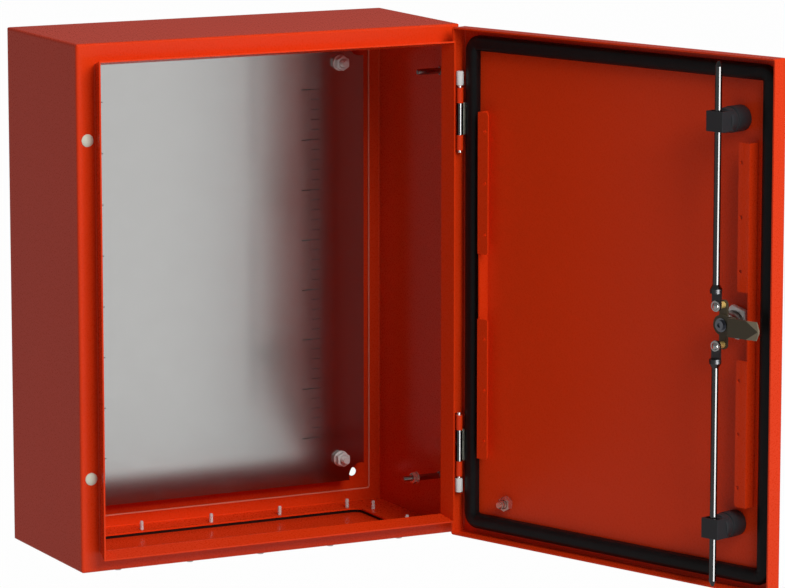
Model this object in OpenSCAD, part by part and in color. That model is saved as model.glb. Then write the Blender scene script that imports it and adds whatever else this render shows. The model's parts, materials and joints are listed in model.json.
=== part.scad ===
// Wall cabinet for an electrical panel: a folded sheet body with a gutter lip,
// a hinged door pan with a foam seal, a mounting plate and a three-point rod lock.
// The frame has its origin on the back plane, in the middle of the wall holes.
// X runs to the right, Y runs to the wall and Z runs up. Lengths are in millimetres.

/* [Body] */
// Outside width of the body
body_w = 400; // [340:1:600]
// Outside height of the body
body_h = 500; // [460:1:800]
// Depth from the back plane to the front flange
body_d = 170; // [150:1:300]
// Thickness of the body sheet
sheet = 1.5; // [1.2:0.1:2]
// Outside bend radius of the sheet
bend_r = 2.6; // [2.2:0.1:4]
// Width of the inward flange at the back
rear_flange_w = 13.5; // [10:0.5:20]
// Width of the front flange, which is the floor of the gutter
gutter_w = 19; // [17:0.5:24]
// Height of the gutter lip above the front flange
lip_h = 19.5; // [12:0.5:20]
// Outward lean of the lip at its rim
lip_lean = 4.5; // [0:0.5:6]
// Diameter of the wall holes
wall_hole_d = 8.7; // [6:0.1:12]
// Distance from the body sides to the wall holes
wall_hole_inset = 31.5; // [28:0.5:45]

/* [Mounting plate] */
// Gap from the body side to the plate edge
plate_side_gap = 28; // [24:0.5:50]
// Gap from the body top to the plate edge
plate_end_gap = 27.5; // [24:0.5:50]
// Distance from the back plane to the rear of the plate
plate_setoff = 18; // [12:0.5:40]
// Thickness of the plate
plate_t = 2; // [1.5:0.1:3]
// Radius of the corner notches round the wall holes
plate_notch_r = 13; // [10:0.5:16]
// Distance from the plate side to the stud axis
plate_stud_inset_x = 26; // [22:0.5:60]
// Distance from the plate end to the stud axis
plate_stud_inset_z = 23; // [20:0.5:60]
// Diameter of the plate studs
plate_stud_d = 8; // [6:0.5:10]
// Length of stud that stands out of the nut
plate_stud_end = 6; // [2:0.5:12]
// Outside diameter of the spacer tubes
spacer_d = 14; // [12:0.5:18]

/* [Gland opening] */
// Width of the opening in the floor
gland_w = 320; // [200:1:330]
// Depth of the opening in the floor
gland_d = 99; // [60:1:110]
// Distance from the back plane to the middle of the opening
gland_y = 82.5; // [78:0.5:88]
// Corner radius of the opening
gland_r = 9; // [4:0.5:20]
// Distance from the opening's long edges to the screw rows
gland_row_inset = 7; // [5.5:0.5:12]
// Distance from the opening's short edges to the screws
gland_side_inset = 9.5; // [5.5:0.5:12]
// Spacing of the screws in the long rows
gland_pitch_x = 75; // [40:1:80]
// Number of screws in a long row
gland_row = 5; // [3:2:5]
// Spacing of the two screws on each short side
gland_pitch_y = 74; // [30:1:90]
// Width of the plate and gasket beyond the screw line
gland_margin = 8.5; // [7:0.5:12]
// Thickness of the gasket
gasket_t = 3; // [1:0.5:4]
// How far the gasket reaches into the opening
gasket_lip = 1; // [0.5:0.1:2]
// Thickness of the gland plate
gland_plate_t = 2; // [1.5:0.1:3]
// Diameter of the gland screws
gland_screw_d = 4; // [3:0.5:5]
// Length of screw that stands above the floor
gland_screw_end = 8.5; // [3:0.5:12]

/* [Door] */
// Gap from the door to the body side, seen from the front
door_side_gap = 3; // [2:0.5:5]
// Gap from the door to the body top, seen from the front
door_end_gap = 1.5; // [1:0.5:4]
// Gap from the front flange to the rim of the closed door
door_gap = 12; // [10:0.5:14]
// Depth of the door pan
door_d = 18; // [17:0.5:24]
// Thickness of the door sheet
door_sheet = 1.5; // [1.2:0.1:2]
// Angle of the open door at rest
open_angle = 109.5; // [0:0.5:120]
// Width of the seal strip
seal_w = 14.5; // [12:0.5:18]
// Distance from the door side to the seal
seal_inset = 7.5; // [7:0.1:9]
// Outside corner radius of the seal
seal_r = 16; // [15:0.5:24]
// Clearance from the seal to the lip of the closed door
seal_clearance = 0.4; // [0.2:0.1:1]
// Rounding of the seal's crown
seal_crown_r = 3.5; // [1:0.5:4]

/* [Door rails] */
// Distance from the door side to the rail web
rail_inset = 32; // [27:0.5:40]
// Distance from the end of the door to a rail
rail_end_gap = 79.5; // [76:0.5:140]
// Height of the web off the door
rail_h = 13; // [8:0.5:18]
// Width of the rail flange
rail_flange_w = 12; // [10:0.5:16]
// Length of the cut-out in the middle of the flange
rail_gap_l = 63.5; // [40:0.5:90]
// Depth of the cut-out into the web
rail_gap_drop = 1.2; // [0.5:0.1:3]
// Corner radius of the flange
rail_corner_r = 2.5; // [1:0.5:5]
// Thickness of the rail sheet
rail_t = 1.5; // [1:0.1:2]
// Diameter of the holes in the flange
rail_hole_d = 3.6; // [2.5:0.1:5]
// Spacing of the holes in the flange
rail_pitch = 50; // [30:1:50]

/* [Hinges] */
// Distance from the end of the body to the middle of a hinge
hinge_end_gap = 90; // [75:0.5:130]
// Distance from the door side to the pin axis
hinge_inset = 5.5; // [5.5:0.1:6]
// Distance from the door face to the pin axis
hinge_setback = 13; // [12:0.5:14]
// Distance from the body side to the hinge screws
hinge_hole_inset = 10.5; // [10:0.1:11]
// Diameter of the hinge pin
pin_d = 3.2; // [2.8:0.1:3.6]
// Radial clearance of the pin in the door leaf
pin_clearance = 0.05; // [0.02:0.01:0.1]
// Diameter of the door leaf knuckle
leaf_knuckle_d = 6.2; // [5.6:0.1:7]
// Length of the door leaf knuckle
leaf_l = 30.6; // [20:0.2:40]
// Thickness of the door leaf
leaf_t = 1.6; // [1.2:0.1:2.4]
// Diameter of the bracket knuckles
bracket_knuckle_d = 7; // [6.2:0.1:7.4]
// Length of one bracket knuckle
bracket_knuckle_l = 14.6; // [10:0.2:20]
// Thickness of the bracket base
bracket_base_t = 5; // [3:0.1:5.5]
// Width of the bracket base
bracket_base_w = 12; // [11:0.5:13]
// Thickness of the bracket's upright plate
bracket_web_t = 2.5; // [2:0.1:3]
// Diameter of the pin caps
cap_d = 7.4; // [6:0.1:7.4]
// Height of the pin caps
cap_h = 13.8; // [8:0.2:20]

/* [Rod lock] */
// Distance from the free side of the door to the lock axis
lock_inset = 51; // [49:0.5:58]
// Height of the lock axis above the middle
lock_z = 1.5; // [-4:0.5:4]
// Throw radius of the rod pins on the rod arm
cam_r = 18.5; // [16.5:0.5:20]
// Thickness of the cam and of the rod arm
cam_t = 2.5; // [2:0.1:3]
// Rise of the cranked tongue above the cam
cam_crank = 7.3; // [5:0.1:8]
// Clearance from the tongue and the rods to the rear of the front flange
tongue_clearance = 0.4; // [0.3:0.1:1]
// Reach of the tongue from the lock axis
tongue_reach = 48.5; // [42:0.5:50]
// Width of the tongue
tongue_w = 17.2; // [14:0.2:18]
// Length of the bevels on the tongue's tip
tongue_bevel_l = 14; // [8:0.5:18]
// Width of the rod arm
arm_w = 9; // [8:0.2:10]
// Diameter of the rods
rod_d = 6.6; // [5:0.1:7]
// Distance from the end of the body to a rod tip, with the lock in the middle
rod_end_gap = 7; // [6:0.5:30]
// Length of the pointed rod tips
rod_tip_l = 5; // [2:0.5:8]
// Width of the flat rod eyes
eye_w = 9.8; // [9:0.1:11]
// Thickness of the flat rod eyes
eye_t = 2.5; // [2:0.1:3]
// Length of the flat rod eyes from the pin
eye_l = 12; // [9:0.5:16]
// Length of the collar and cone between an eye and its rod
collar_l = 8; // [4:0.5:12]
// Clearance between parts that slide past each other
slide_clearance = 0.3; // [0.2:0.05:0.6]
// Distance from the end of the body to a rod guide, with the lock in the middle
guide_end_gap = 61.7; // [58:0.1:65]
// Diameter of a guide's foot
guide_foot_d = 24.6; // [22:0.2:27]
// Height of a guide's foot up to its parting groove
guide_foot_h = 18; // [10:0.5:20]
// Height of the guide's turning head above the groove
guide_head_h = 9; // [6:0.5:9.5]
// Width of a guide's block
guide_w = 19.2; // [18.8:0.1:22]
// Height of a guide's block along the rod
guide_l = 18.6; // [14:0.1:19]
// Width of the slot that takes the rod's sideways swing
guide_slot_w = 15.2; // [15:0.1:15.6]
// Wall of the guide block beyond the rod
guide_wall = 2; // [1.5:0.1:3]
// Diameter of the lock barrel
barrel_d = 20; // [18:0.5:22]
// Diameter of the bezel on the door face
bezel_d = 30; // [26:0.5:36]
// Diameter of the turning insert
insert_d = 15.9; // [14:0.1:16]
// Radial clearance of the insert in the barrel
insert_clearance = 0.05; // [0.02:0.01:0.1]

/* [Small hardware] */
// Diameter of the studs on the side wall
wall_stud_d = 6; // [5:0.5:8]
// Distance from the front flange to the wall studs
wall_stud_setback = 37; // [30:0.5:60]
// Distance from the end of the body to the wall studs
wall_stud_end_gap = 49.5; // [45:0.5:140]
// Length of the upper wall stud
wall_stud_upper_l = 25; // [15:1:40]
// Length of the lower wall stud, which takes the earth lead
wall_stud_lower_l = 40; // [30:1:45]
// Distance from the hinge side of the door to its earth stud
door_stud_inset = 59; // [54:0.5:90]
// Distance from the bottom of the door to its earth stud
door_stud_rise = 37; // [33:0.5:60]
// Diameter of the door's earth stud
door_stud_d = 8; // [6:0.5:8]
// Length of the door's earth stud
door_stud_l = 13.5; // [10:0.5:20]
// Diameter of the spare hinge holes, which plugs fill
plug_hole_d = 8; // [6:0.5:9]
// Diameter of the plug domes
plug_d = 12; // [10:0.5:14]
// Height of the plug domes
plug_h = 2.4; // [1:0.1:4]

/* [Hidden] */
$fn = 48;

paint = [0.85, 0.16, 0.07];
zinc = [0.78, 0.79, 0.80];
dark_steel = [0.30, 0.29, 0.24];
brass = [0.75, 0.58, 0.30];
rubber = [0.07, 0.07, 0.07];
plastic = [0.18, 0.18, 0.19];
nylon = [0.93, 0.93, 0.92];

// Small overlap that lets a cut pass through a face
cut = 1;
// Diametral clearance of a bolt or stud in its hole
hole_clearance = 0.1;
// Points on one bend of the folded sheet
bend_steps = 5;
wrench_ratio = 2 / sqrt(3);

door_w = body_w - 2 * door_side_gap;
door_h = body_h - 2 * door_end_gap;
total_d = body_d + door_gap + door_d;
axis_x = door_w / 2 - hinge_inset;
axis_y = hinge_setback - total_d;
inner_x = body_w / 2 - sheet;
floor_z = sheet - body_h / 2;
hinge_hole_x = body_w / 2 - hinge_hole_inset;
hinge_z = body_h / 2 - hinge_end_gap;
wall_stud_z = body_h / 2 - wall_stud_end_gap;
rail_l = door_h - 2 * rail_end_gap;
lock_s = door_w - lock_inset;
guide_z = body_h / 2 - guide_end_gap;
rod_tip_z = body_h / 2 - rod_end_gap;

plate_w = body_w - 2 * plate_side_gap;
plate_h = body_h - 2 * plate_end_gap;
plate_front = plate_setoff + plate_t;
plate_studs_x = plate_w / 2 - plate_stud_inset_x;
plate_studs_z = plate_h / 2 - plate_stud_inset_z;
wall_holes_x = body_w / 2 - wall_hole_inset;
wall_holes_z = body_h / 2 - wall_hole_inset;
plate_nut_w = 1.625 * plate_stud_d;
plate_nut_h = 0.8 * plate_stud_d;
plate_washer_d = 2 * plate_stud_d;
plate_washer_t = 1.6;

gland_rows_y = gland_d / 2 + gland_row_inset;
gland_sides_x = gland_w / 2 + gland_side_inset;
gland_cover_w = gland_w + 2 * (gland_side_inset + gland_margin);
gland_cover_d = gland_d + 2 * (gland_row_inset + gland_margin);
gland_row_x = [for (i = [0 : gland_row - 1]) (i - (gland_row - 1) / 2) * gland_pitch_x];
gland_screws_xy = concat(
    [for (side = [-1, 1], x = gland_row_x) [x, side * gland_rows_y]],
    [for (side = [-1, 1], y = [-1, 1]) [side * gland_sides_x, y * gland_pitch_y / 2]]
);

// Heights off the door's outer face
flange_rear_n = door_d + door_gap + sheet;
tongue_n = flange_rear_n + tongue_clearance;
cam_n = tongue_n - cam_crank;
cam_top_n = cam_n + cam_t;
arm_n = cam_n - cam_t;
tongue_top_n = tongue_n + cam_t;
rod_n = flange_rear_n + tongue_clearance + rod_d / 2;
eye_n = rod_n - eye_t;
eye_top_n = rod_n;
collar_d = norm([eye_w, 2 * eye_t]) + 0.2;
barrel_top_n = arm_n - 2.5;
guide_top_n = rod_n + rod_d / 2 + slide_clearance + guide_wall;
seal_h = door_gap + door_d - door_sheet - lip_h - seal_clearance;

pin_shank_d = 4;
pin_pivot_d = 4.8;
pin_head_d = 10.6;
pin_head_h = 2.4;
pin_running_gap = 0.2;
bush_d = 6.4;
cam_hub_r = 9.5;
tongue_root = 13;
spindle_w = 8;
cam_bolt_d = 5;
cam_bolt_head_d = 9.5;
cam_bolt_head_h = 2.4;
cam_washer_d = 13;
cam_washer_t = 1;

bracket_end = leaf_l / 2 + 0.2;
bracket_top = bracket_end + bracket_knuckle_l;
notch_margin = 1.5;
pin_tip = 2.4;
cap_neck = 2.5;
hinge_bolt_d = 6;

// Folded sheet: paths and sections
function unit(v) = v / norm(v);
function right_of(v) = [v[1], -v[0]];
function turn(a) = a > 180 ? a - 360 : a < -180 ? a + 360 : a;

// Points of the arc of radius r that rounds the corner b between a and c
function corner_arc(a, b, c, r) =
    let (
        to_a = unit(a - b),
        to_c = unit(c - b),
        half = acos(to_a * to_c) / 2,
        middle = b + unit(to_a + to_c) * r / sin(half),
        first = b + to_a * r / tan(half) - middle,
        last = b + to_c * r / tan(half) - middle,
        start = atan2(first[1], first[0]),
        sweep = turn(atan2(last[1], last[0]) - start)
    )
    [for (i = [0 : bend_steps])
        middle + r * [cos(start + sweep * i / bend_steps), sin(start + sweep * i / bend_steps)]];

// The path with each inner corner rounded by its own radius
function bent_path(points, radii) = concat(
    [points[0]],
    [for (i = [1 : len(points) - 2])
        each corner_arc(points[i - 1], points[i], points[i + 1], radii[i - 1])],
    [points[len(points) - 1]]
);

// The path moved to its right by t
function beside(path, t) = [
    for (i = [0 : len(path) - 1])
        let (
            before = i == 0 ? path[1] - path[0] : path[i] - path[i - 1],
            after = i == len(path) - 1 ? before : path[i + 1] - path[i],
            side = unit(right_of(unit(before)) + right_of(unit(after)))
        )
        path[i] + side * t / (side * right_of(unit(before)))
];

// Closed outline of a sheet of thickness t to the right of the path
function sheet_outline(path, t) =
    let (inner = beside(path, t))
    concat(path, [for (i = [len(inner) - 1 : -1 : 0]) inner[i]]);

// Outline of a rectangle with round corners
function round_rect(w, h, r) = [
    for (q = [0 : 3], i = [0 : bend_steps])
        let (
            a = 90 * q + 90 * i / bend_steps,
            x = (q == 0 || q == 3 ? 1 : -1) * (w / 2 - r),
            y = (q < 2 ? 1 : -1) * (h / 2 - r)
        )
        [x + r * cos(a), y + r * sin(a)]
];

// One folded side of a rectangular frame, mitred at both ends
module frame_side(half, length, outline, reach) {
    intersection() {
        translate([0, 0, half])
            rotate([0, 90, 180])
                linear_extrude(length, center = true)
                    polygon(outline);
        rotate([90, 0, 0])
            linear_extrude(total_d + cut)
                polygon([
                    [-length / 2, half],
                    [length / 2, half],
                    [length / 2 - reach, half - reach],
                    [reach - length / 2, half - reach]
                ]);
    }
}

// Four folded sides with one section
module frame_ring(w, h, outline, reach) {
    intersection() {
        for (side = [0 : 3])
            rotate([0, 90 * side, 0])
                frame_side(side % 2 == 0 ? h / 2 : w / 2, side % 2 == 0 ? w : h, outline, reach);
        rotate([90, 0, 0])
            linear_extrude(total_d + cut)
                polygon(round_rect(w, h, bend_r));
    }
}

// Sheet with round corners that lies from y_back towards the front
module upright_sheet(w, h, r, y_back, t) {
    translate([0, y_back, 0])
        rotate([90, 0, 0])
            linear_extrude(t)
                polygon(round_rect(w, h, r));
}

// Placement helpers
// Children at the four corners of a pattern on an upright plane
module four(x, z) {
    for (sx = [-1, 1], sz = [-1, 1])
        translate([sx * x, 0, sz * z])
            children();
}

// A cylinder along Y from y towards the front
module front_rod(d, y, l) {
    translate([0, y, 0])
        rotate([90, 0, 0])
            cylinder(d = d, h = l);
}

// The closed door's pieces, swung about the pin axis to the rest angle
module on_door() {
    translate([axis_x, axis_y, 0])
        rotate([0, 0, open_angle])
            translate([-axis_x, -axis_y, 0])
                children();
}

// A point of the door: s from its hinge side, n off its face, z up.
// Children see X away from the lock side, Z off the door and Y down.
module door_point(s, n, z) {
    on_door()
        translate([door_w / 2 - s, n - total_d, z])
            rotate([-90, 0, 0])
                children();
}

// The lock axis, with children's Z off the door
module lock_point(n) {
    door_point(lock_s, n, lock_z)
        children();
}

// The same child at the upper and lower rod pin
module both_pins() {
    for (side = [-1, 1])
        translate([0, side * cam_r, 0])
            children();
}

// A nut, a washer and a tube that stand on Z = 0
module ring(outer_d, inner_d, h) {
    difference() {
        cylinder(d = outer_d, h = h);
        translate([0, 0, -cut])
            cylinder(d = inner_d, h = h + 2 * cut);
    }
}

module hex_nut(w, bore_d, h) {
    difference() {
        cylinder(d = w * wrench_ratio, h = h, $fn = 6);
        translate([0, 0, -cut])
            cylinder(d = bore_d, h = h + 2 * cut);
    }
}

// Cabinet body
module body_shell() {
    path = bent_path(
        [
            [rear_flange_w, sheet],
            [0, sheet],
            [0, body_d],
            [gutter_w, body_d],
            [gutter_w - lip_lean, body_d + lip_h]
        ],
        [bend_r, bend_r, bend_r - sheet]
    );
    reach = gutter_w + 2 * sheet;
    color(paint)
        difference() {
            frame_ring(body_w, body_h, sheet_outline(path, sheet), reach);
            translate([0, -gland_y, -body_h / 2 - cut])
                linear_extrude(sheet + 2 * cut)
                    polygon(round_rect(gland_w, gland_d, gland_r));
            for (p = gland_screws_xy)
                translate([p[0], p[1] - gland_y, -body_h / 2 - cut])
                    cylinder(d = gland_screw_d + hole_clearance, h = sheet + 2 * cut);
            for (sz = [-1, 1]) {
                translate([-hinge_hole_x, 0, sz * hinge_z])
                    front_rod(plug_hole_d, sheet + cut - body_d, sheet + 2 * cut);
                translate([hinge_hole_x, 0, sz * hinge_z])
                    front_rod(hinge_bolt_d + hole_clearance, sheet + cut - body_d, sheet + 2 * cut);
            }
        }
}

module back_panel() {
    color(paint)
        difference() {
            upright_sheet(body_w - 2 * sheet, body_h - 2 * sheet, bend_r, 0, sheet);
            four(wall_holes_x, wall_holes_z)
                front_rod(wall_hole_d, cut, sheet + 2 * cut);
        }
}

module flange_plugs() {
    stem_d = plug_hole_d - 2 * hole_clearance;
    dome_r = (plug_d * plug_d / 4 + plug_h * plug_h) / (2 * plug_h);
    color(nylon)
        for (sz = [-1, 1])
            translate([-hinge_hole_x, -body_d, sz * hinge_z]) {
                front_rod(stem_d, 2 * sheet, 2 * sheet);
                rotate([90, 0, 0])
                    intersection() {
                        cylinder(d = plug_d, h = plug_h);
                        translate([0, 0, plug_h - dome_r])
                            sphere(r = dome_r);
                    }
            }
}

// Mounting plate and its fixings
module mounting_plate() {
    color(zinc)
        difference() {
            upright_sheet(plate_w, plate_h, bend_r, -plate_setoff, plate_t);
            four(wall_holes_x, wall_holes_z)
                front_rod(2 * plate_notch_r, cut - plate_setoff, plate_t + 2 * cut);
            four(plate_studs_x, plate_studs_z)
                front_rod(plate_stud_d + 1, cut - plate_setoff, plate_t + 2 * cut);
        }
}

module plate_studs() {
    color(zinc)
        four(plate_studs_x, plate_studs_z)
            front_rod(plate_stud_d, -sheet,
                plate_front - sheet + plate_washer_t + plate_nut_h + plate_stud_end);
}

module plate_spacers() {
    color(zinc)
        four(plate_studs_x, plate_studs_z)
            translate([0, -sheet, 0])
                rotate([90, 0, 0])
                    ring(spacer_d, plate_stud_d + 2 * hole_clearance, plate_setoff - sheet);
}

module plate_washers() {
    color(zinc)
        four(plate_studs_x, plate_studs_z)
            translate([0, -plate_front, 0])
                rotate([90, 0, 0])
                    ring(plate_washer_d, plate_stud_d + 2 * hole_clearance, plate_washer_t);
}

module plate_nuts() {
    color(zinc)
        four(plate_studs_x, plate_studs_z)
            translate([0, -plate_front - plate_washer_t, 0])
                rotate([90, 0, 0])
                    hex_nut(plate_nut_w, plate_stud_d + hole_clearance, plate_nut_h);
}

// Gland plate under the floor
module gland_sheet(t, top_z, hole_d) {
    translate([0, -gland_y, top_z - t])
        difference() {
            linear_extrude(t)
                polygon(round_rect(gland_cover_w, gland_cover_d, gland_r));
            for (p = gland_screws_xy)
                translate([p[0], p[1], -cut])
                    cylinder(d = hole_d, h = t + 2 * cut);
        }
}

module gland_gasket() {
    color(rubber)
        difference() {
            gland_sheet(gasket_t, -body_h / 2, gland_screw_d + hole_clearance);
            translate([0, -gland_y, -body_h / 2 - gasket_t - cut])
                linear_extrude(gasket_t + 2 * cut)
                    polygon(round_rect(gland_w - 2 * gasket_lip, gland_d - 2 * gasket_lip, gland_r));
        }
}

module gland_plate() {
    color(paint)
        gland_sheet(gland_plate_t, -body_h / 2 - gasket_t, gland_screw_d + hole_clearance);
}

module gland_screws() {
    head_z = -body_h / 2 - gasket_t - gland_plate_t;
    head_h = 0.65 * gland_screw_d;
    color(zinc)
        for (p = gland_screws_xy)
            translate([p[0], p[1] - gland_y, head_z]) {
                cylinder(d = gland_screw_d, h = floor_z + gland_screw_end - head_z);
                translate([0, 0, -head_h])
                    cylinder(d1 = 1.7 * gland_screw_d, d2 = 2 * gland_screw_d, h = head_h);
            }
}

// Studs on the hinge-side wall
module wall_stud(z, l) {
    flange_d = wall_stud_d + 2.4;
    flange_t = 1;
    translate([inner_x, wall_stud_setback - body_d, z])
        rotate([0, -90, 0]) {
            cylinder(d = wall_stud_d, h = l);
            cylinder(d = flange_d, h = flange_t);
        }
}

module wall_studs() {
    color(zinc) {
        wall_stud(wall_stud_z, wall_stud_upper_l);
        wall_stud(-wall_stud_z, wall_stud_lower_l);
    }
}

module earth_fasteners() {
    nut_h = 0.8 * wall_stud_d;
    washer_t = 1.4;
    seat = wall_stud_lower_l - 14;
    color(zinc)
        translate([inner_x - seat, wall_stud_setback - body_d, -wall_stud_z])
            rotate([0, -90, 0]) {
                hex_nut(1.667 * wall_stud_d, wall_stud_d + hole_clearance, nut_h);
                translate([0, 0, -washer_t])
                    ring(2 * wall_stud_d, wall_stud_d + hole_clearance, washer_t);
            }
}

// Hinges: painted brackets on the flange, bright leaves on the door
module hinge_bracket() {
    base_x = axis_x + bracket_knuckle_d / 2 + 1.5 - bracket_base_w;
    web_front = axis_y + leaf_knuckle_d / 2 + 1.4;
    color(paint)
        difference() {
            union() {
                translate([base_x, -body_d - bracket_base_t, hinge_z - bracket_top])
                    cube([bracket_base_w, bracket_base_t, 2 * bracket_top]);
                translate([axis_x - bracket_web_t / 2, web_front, hinge_z - bracket_top])
                    cube([bracket_web_t, -body_d - web_front, 2 * bracket_top]);
                for (z = [bracket_end, -bracket_top])
                    translate([axis_x, axis_y, hinge_z + z]) {
                        cylinder(d = bracket_knuckle_d, h = bracket_knuckle_l);
                        translate([-bracket_web_t / 2, 0, 0])
                            cube([bracket_web_t, -body_d - axis_y, bracket_knuckle_l]);
                    }
            }
            translate([axis_x, axis_y, hinge_z - bracket_top - cut])
                cylinder(d = pin_d + hole_clearance, h = 2 * (bracket_top + cut));
            translate([hinge_hole_x, 0, hinge_z])
                front_rod(hinge_bolt_d + hole_clearance, cut - body_d, bracket_base_t + cut);
        }
}

module upper_hinge_bracket() {
    hinge_bracket();
}

module lower_hinge_bracket() {
    mirror([0, 0, 1])
        hinge_bracket();
}

module hinge_screws() {
    head_w = 1.667 * hinge_bolt_d;
    head_h = 4;
    color(zinc)
        for (sz = [-1, 1])
            translate([hinge_hole_x, sheet - body_d, sz * hinge_z])
                rotate([90, 0, 0]) {
                    cylinder(d = hinge_bolt_d, h = sheet + bracket_base_t - hole_clearance);
                    translate([0, 0, -head_h])
                        cylinder(d = head_w * wrench_ratio, h = head_h, $fn = 6);
                }
}

module hinge_pin() {
    bottom = hinge_z - bracket_top - pin_tip;
    top = hinge_z + bracket_top + cap_neck + cap_h / 2;
    translate([axis_x, axis_y, bottom])
        cylinder(d = pin_d, h = top - bottom);
}

module hinge_pins() {
    color(zinc) {
        hinge_pin();
        mirror([0, 0, 1])
            hinge_pin();
    }
}

module hinge_cap() {
    rim = 0.8;
    translate([axis_x, axis_y, hinge_z + bracket_top + cap_neck])
        rotate_extrude()
            polygon([
                [pin_d / 2 + hole_clearance / 2, 0],
                [cap_d / 2, 0],
                [cap_d / 2, cap_h - rim],
                [cap_d / 2 - rim, cap_h],
                [0, cap_h],
                [0, cap_h / 2 + hole_clearance],
                [pin_d / 2 + hole_clearance / 2, cap_h / 2 + hole_clearance]
            ]);
}

module hinge_caps() {
    color(nylon) {
        hinge_cap();
        mirror([0, 0, 1])
            hinge_cap();
    }
}

module hinge_leaf() {
    foot_w = hinge_inset - bend_r - leaf_t / 2 - hole_clearance;
    color(zinc)
        on_door()
            difference() {
                translate([axis_x, axis_y, hinge_z - leaf_l / 2]) {
                    cylinder(d = leaf_knuckle_d, h = leaf_l);
                    translate([-leaf_t / 2, door_sheet - hinge_setback, 0]) {
                        cube([leaf_t, hinge_setback - door_sheet, leaf_l]);
                        cube([leaf_t + foot_w, leaf_t, leaf_l]);
                    }
                }
                translate([axis_x, axis_y, hinge_z - leaf_l / 2 - cut])
                    cylinder(d = pin_d + 2 * pin_clearance, h = leaf_l + 2 * cut);
            }
}

module upper_hinge_leaf() {
    hinge_leaf();
}

module lower_hinge_leaf() {
    mirror([0, 0, 1])
        hinge_leaf();
}

// Door pan with a notch for each bracket knuckle
module door_panel() {
    rim_w = 3 * bend_r;
    notch_n = hinge_setback - 2 * bracket_web_t;
    path = bent_path(
        [[0, total_d - door_d], [0, total_d], [rim_w, total_d]],
        [bend_r]
    );
    color(paint)
        on_door()
            difference() {
                union() {
                    frame_ring(door_w, door_h, sheet_outline(path, door_sheet), rim_w + cut);
                    upright_sheet(door_w - 2 * bend_r, door_h - 2 * bend_r, bend_r,
                        door_sheet - total_d, door_sheet);
                }
                for (sz = [-1, 1])
                    translate([axis_x, notch_n - total_d, sz * hinge_z - bracket_top - notch_margin])
                        cube([hinge_inset + cut, door_d, 2 * (bracket_top + notch_margin)]);
                translate([door_w / 2 - lock_s, 0, lock_z])
                    front_rod(barrel_d + 2 * hole_clearance, door_sheet + cut - total_d,
                        door_sheet + 2 * cut);
            }
}

// Foam seal: a strip with a rounded crown on a rounded rectangle
module seal_section() {
    foot = seal_w / 2;
    polygon(bent_path(
        [[-foot, 0], [-foot, seal_h], [foot, seal_h], [foot, 0]],
        [seal_crown_r, seal_crown_r]
    ));
}

module door_seal() {
    run_r = seal_r - seal_w / 2;
    half_x = door_w / 2 - seal_inset - seal_r;
    half_z = door_h / 2 - seal_inset - seal_r;
    color(rubber)
        door_point(door_w / 2, door_sheet, 0)
            for (side = [0 : 3]) {
                along = side % 2 == 0 ? half_z : half_x;
                across = side % 2 == 0 ? half_x : half_z;
                rotate([0, 0, 90 * side]) {
                    translate([across + run_r, along, 0])
                        rotate([90, 0, 0])
                            linear_extrude(2 * along)
                                seal_section();
                    translate([across, along, 0])
                        rotate_extrude(angle = 90)
                            translate([run_r, 0])
                                seal_section();
                }
            }
}

// Folded rails with a flange that is cut away at mid-height
module door_rail() {
    seg_l = (rail_l - rail_gap_l) / 2;
    hole_z = (rail_gap_l + rail_pitch) / 2 - 6;
    flange_top = door_sheet + rail_h;
    difference() {
        union() {
            translate([0, -rail_l / 2, door_sheet])
                cube([rail_t, rail_l, rail_h]);
            for (side = [-1, 1])
                translate([0, side * (rail_l - seg_l) / 2, flange_top - rail_t])
                    linear_extrude(rail_t)
                        intersection() {
                            translate([rail_t / 2 - rail_flange_w, -seg_l / 2])
                                square([rail_flange_w + rail_t / 2, seg_l]);
                            translate([rail_t, 0])
                                polygon(round_rect(2 * rail_flange_w + rail_t, seg_l, rail_corner_r));
                        }
        }
        translate([-cut, -rail_gap_l / 2, flange_top - rail_gap_drop])
            cube([rail_t + 2 * cut, rail_gap_l, rail_gap_drop + cut]);
        for (side = [-1, 1], i = [0 : 2])
            translate([rail_t / 2 - 0.7 * rail_flange_w, side * (hole_z + i * rail_pitch), 0])
                cylinder(d = rail_hole_d, h = flange_top + cut);
    }
}

module hinge_side_rail() {
    color(paint)
        door_point(rail_inset, 0, 0)
            door_rail();
}

module lock_side_rail() {
    color(paint)
        door_point(door_w - rail_inset, 0, 0)
            mirror([1, 0, 0])
                door_rail();
}

// Rod guides on the door
module rod_guide() {
    foot_r = guide_foot_d / 2;
    groove = 0.5;
    groove_n = door_sheet + guide_foot_h;
    head_n = groove_n + guide_head_h;
    difference() {
        union() {
            rotate_extrude()
                polygon(bent_path(
                    [
                        [0, door_sheet],
                        [foot_r, door_sheet],
                        [foot_r, groove_n - groove],
                        [foot_r - groove, groove_n],
                        [foot_r, groove_n + groove],
                        [foot_r, head_n],
                        [0, head_n]
                    ],
                    [0.5, 0.2, 0.2, 0.2, 1.5]
                ));
            translate([-guide_w / 2, -guide_l / 2, head_n - 2 * guide_wall])
                cube([guide_w, guide_l, guide_top_n - head_n + 2 * guide_wall]);
        }
        translate([-guide_slot_w / 2, -guide_l, rod_n - rod_d / 2 - slide_clearance])
            cube([guide_slot_w, 2 * guide_l, rod_d + 2 * slide_clearance]);
    }
}

module upper_rod_guide() {
    color(plastic)
        door_point(lock_s, 0, lock_z + guide_z)
            rod_guide();
}

module lower_rod_guide() {
    color(plastic)
        door_point(lock_s, 0, lock_z - guide_z)
            rod_guide();
}

// Earth stud on the door
module door_earth_stud() {
    color(brass)
        door_point(door_stud_inset, door_sheet, door_stud_rise - door_h / 2)
            cylinder(d = door_stud_d, h = door_stud_l);
}

module door_earth_nut() {
    color(brass)
        door_point(door_stud_inset, door_sheet, door_stud_rise - door_h / 2) {
            hex_nut(1.625 * door_stud_d, door_stud_d + hole_clearance, 0.8 * door_stud_d);
        }
}

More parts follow.
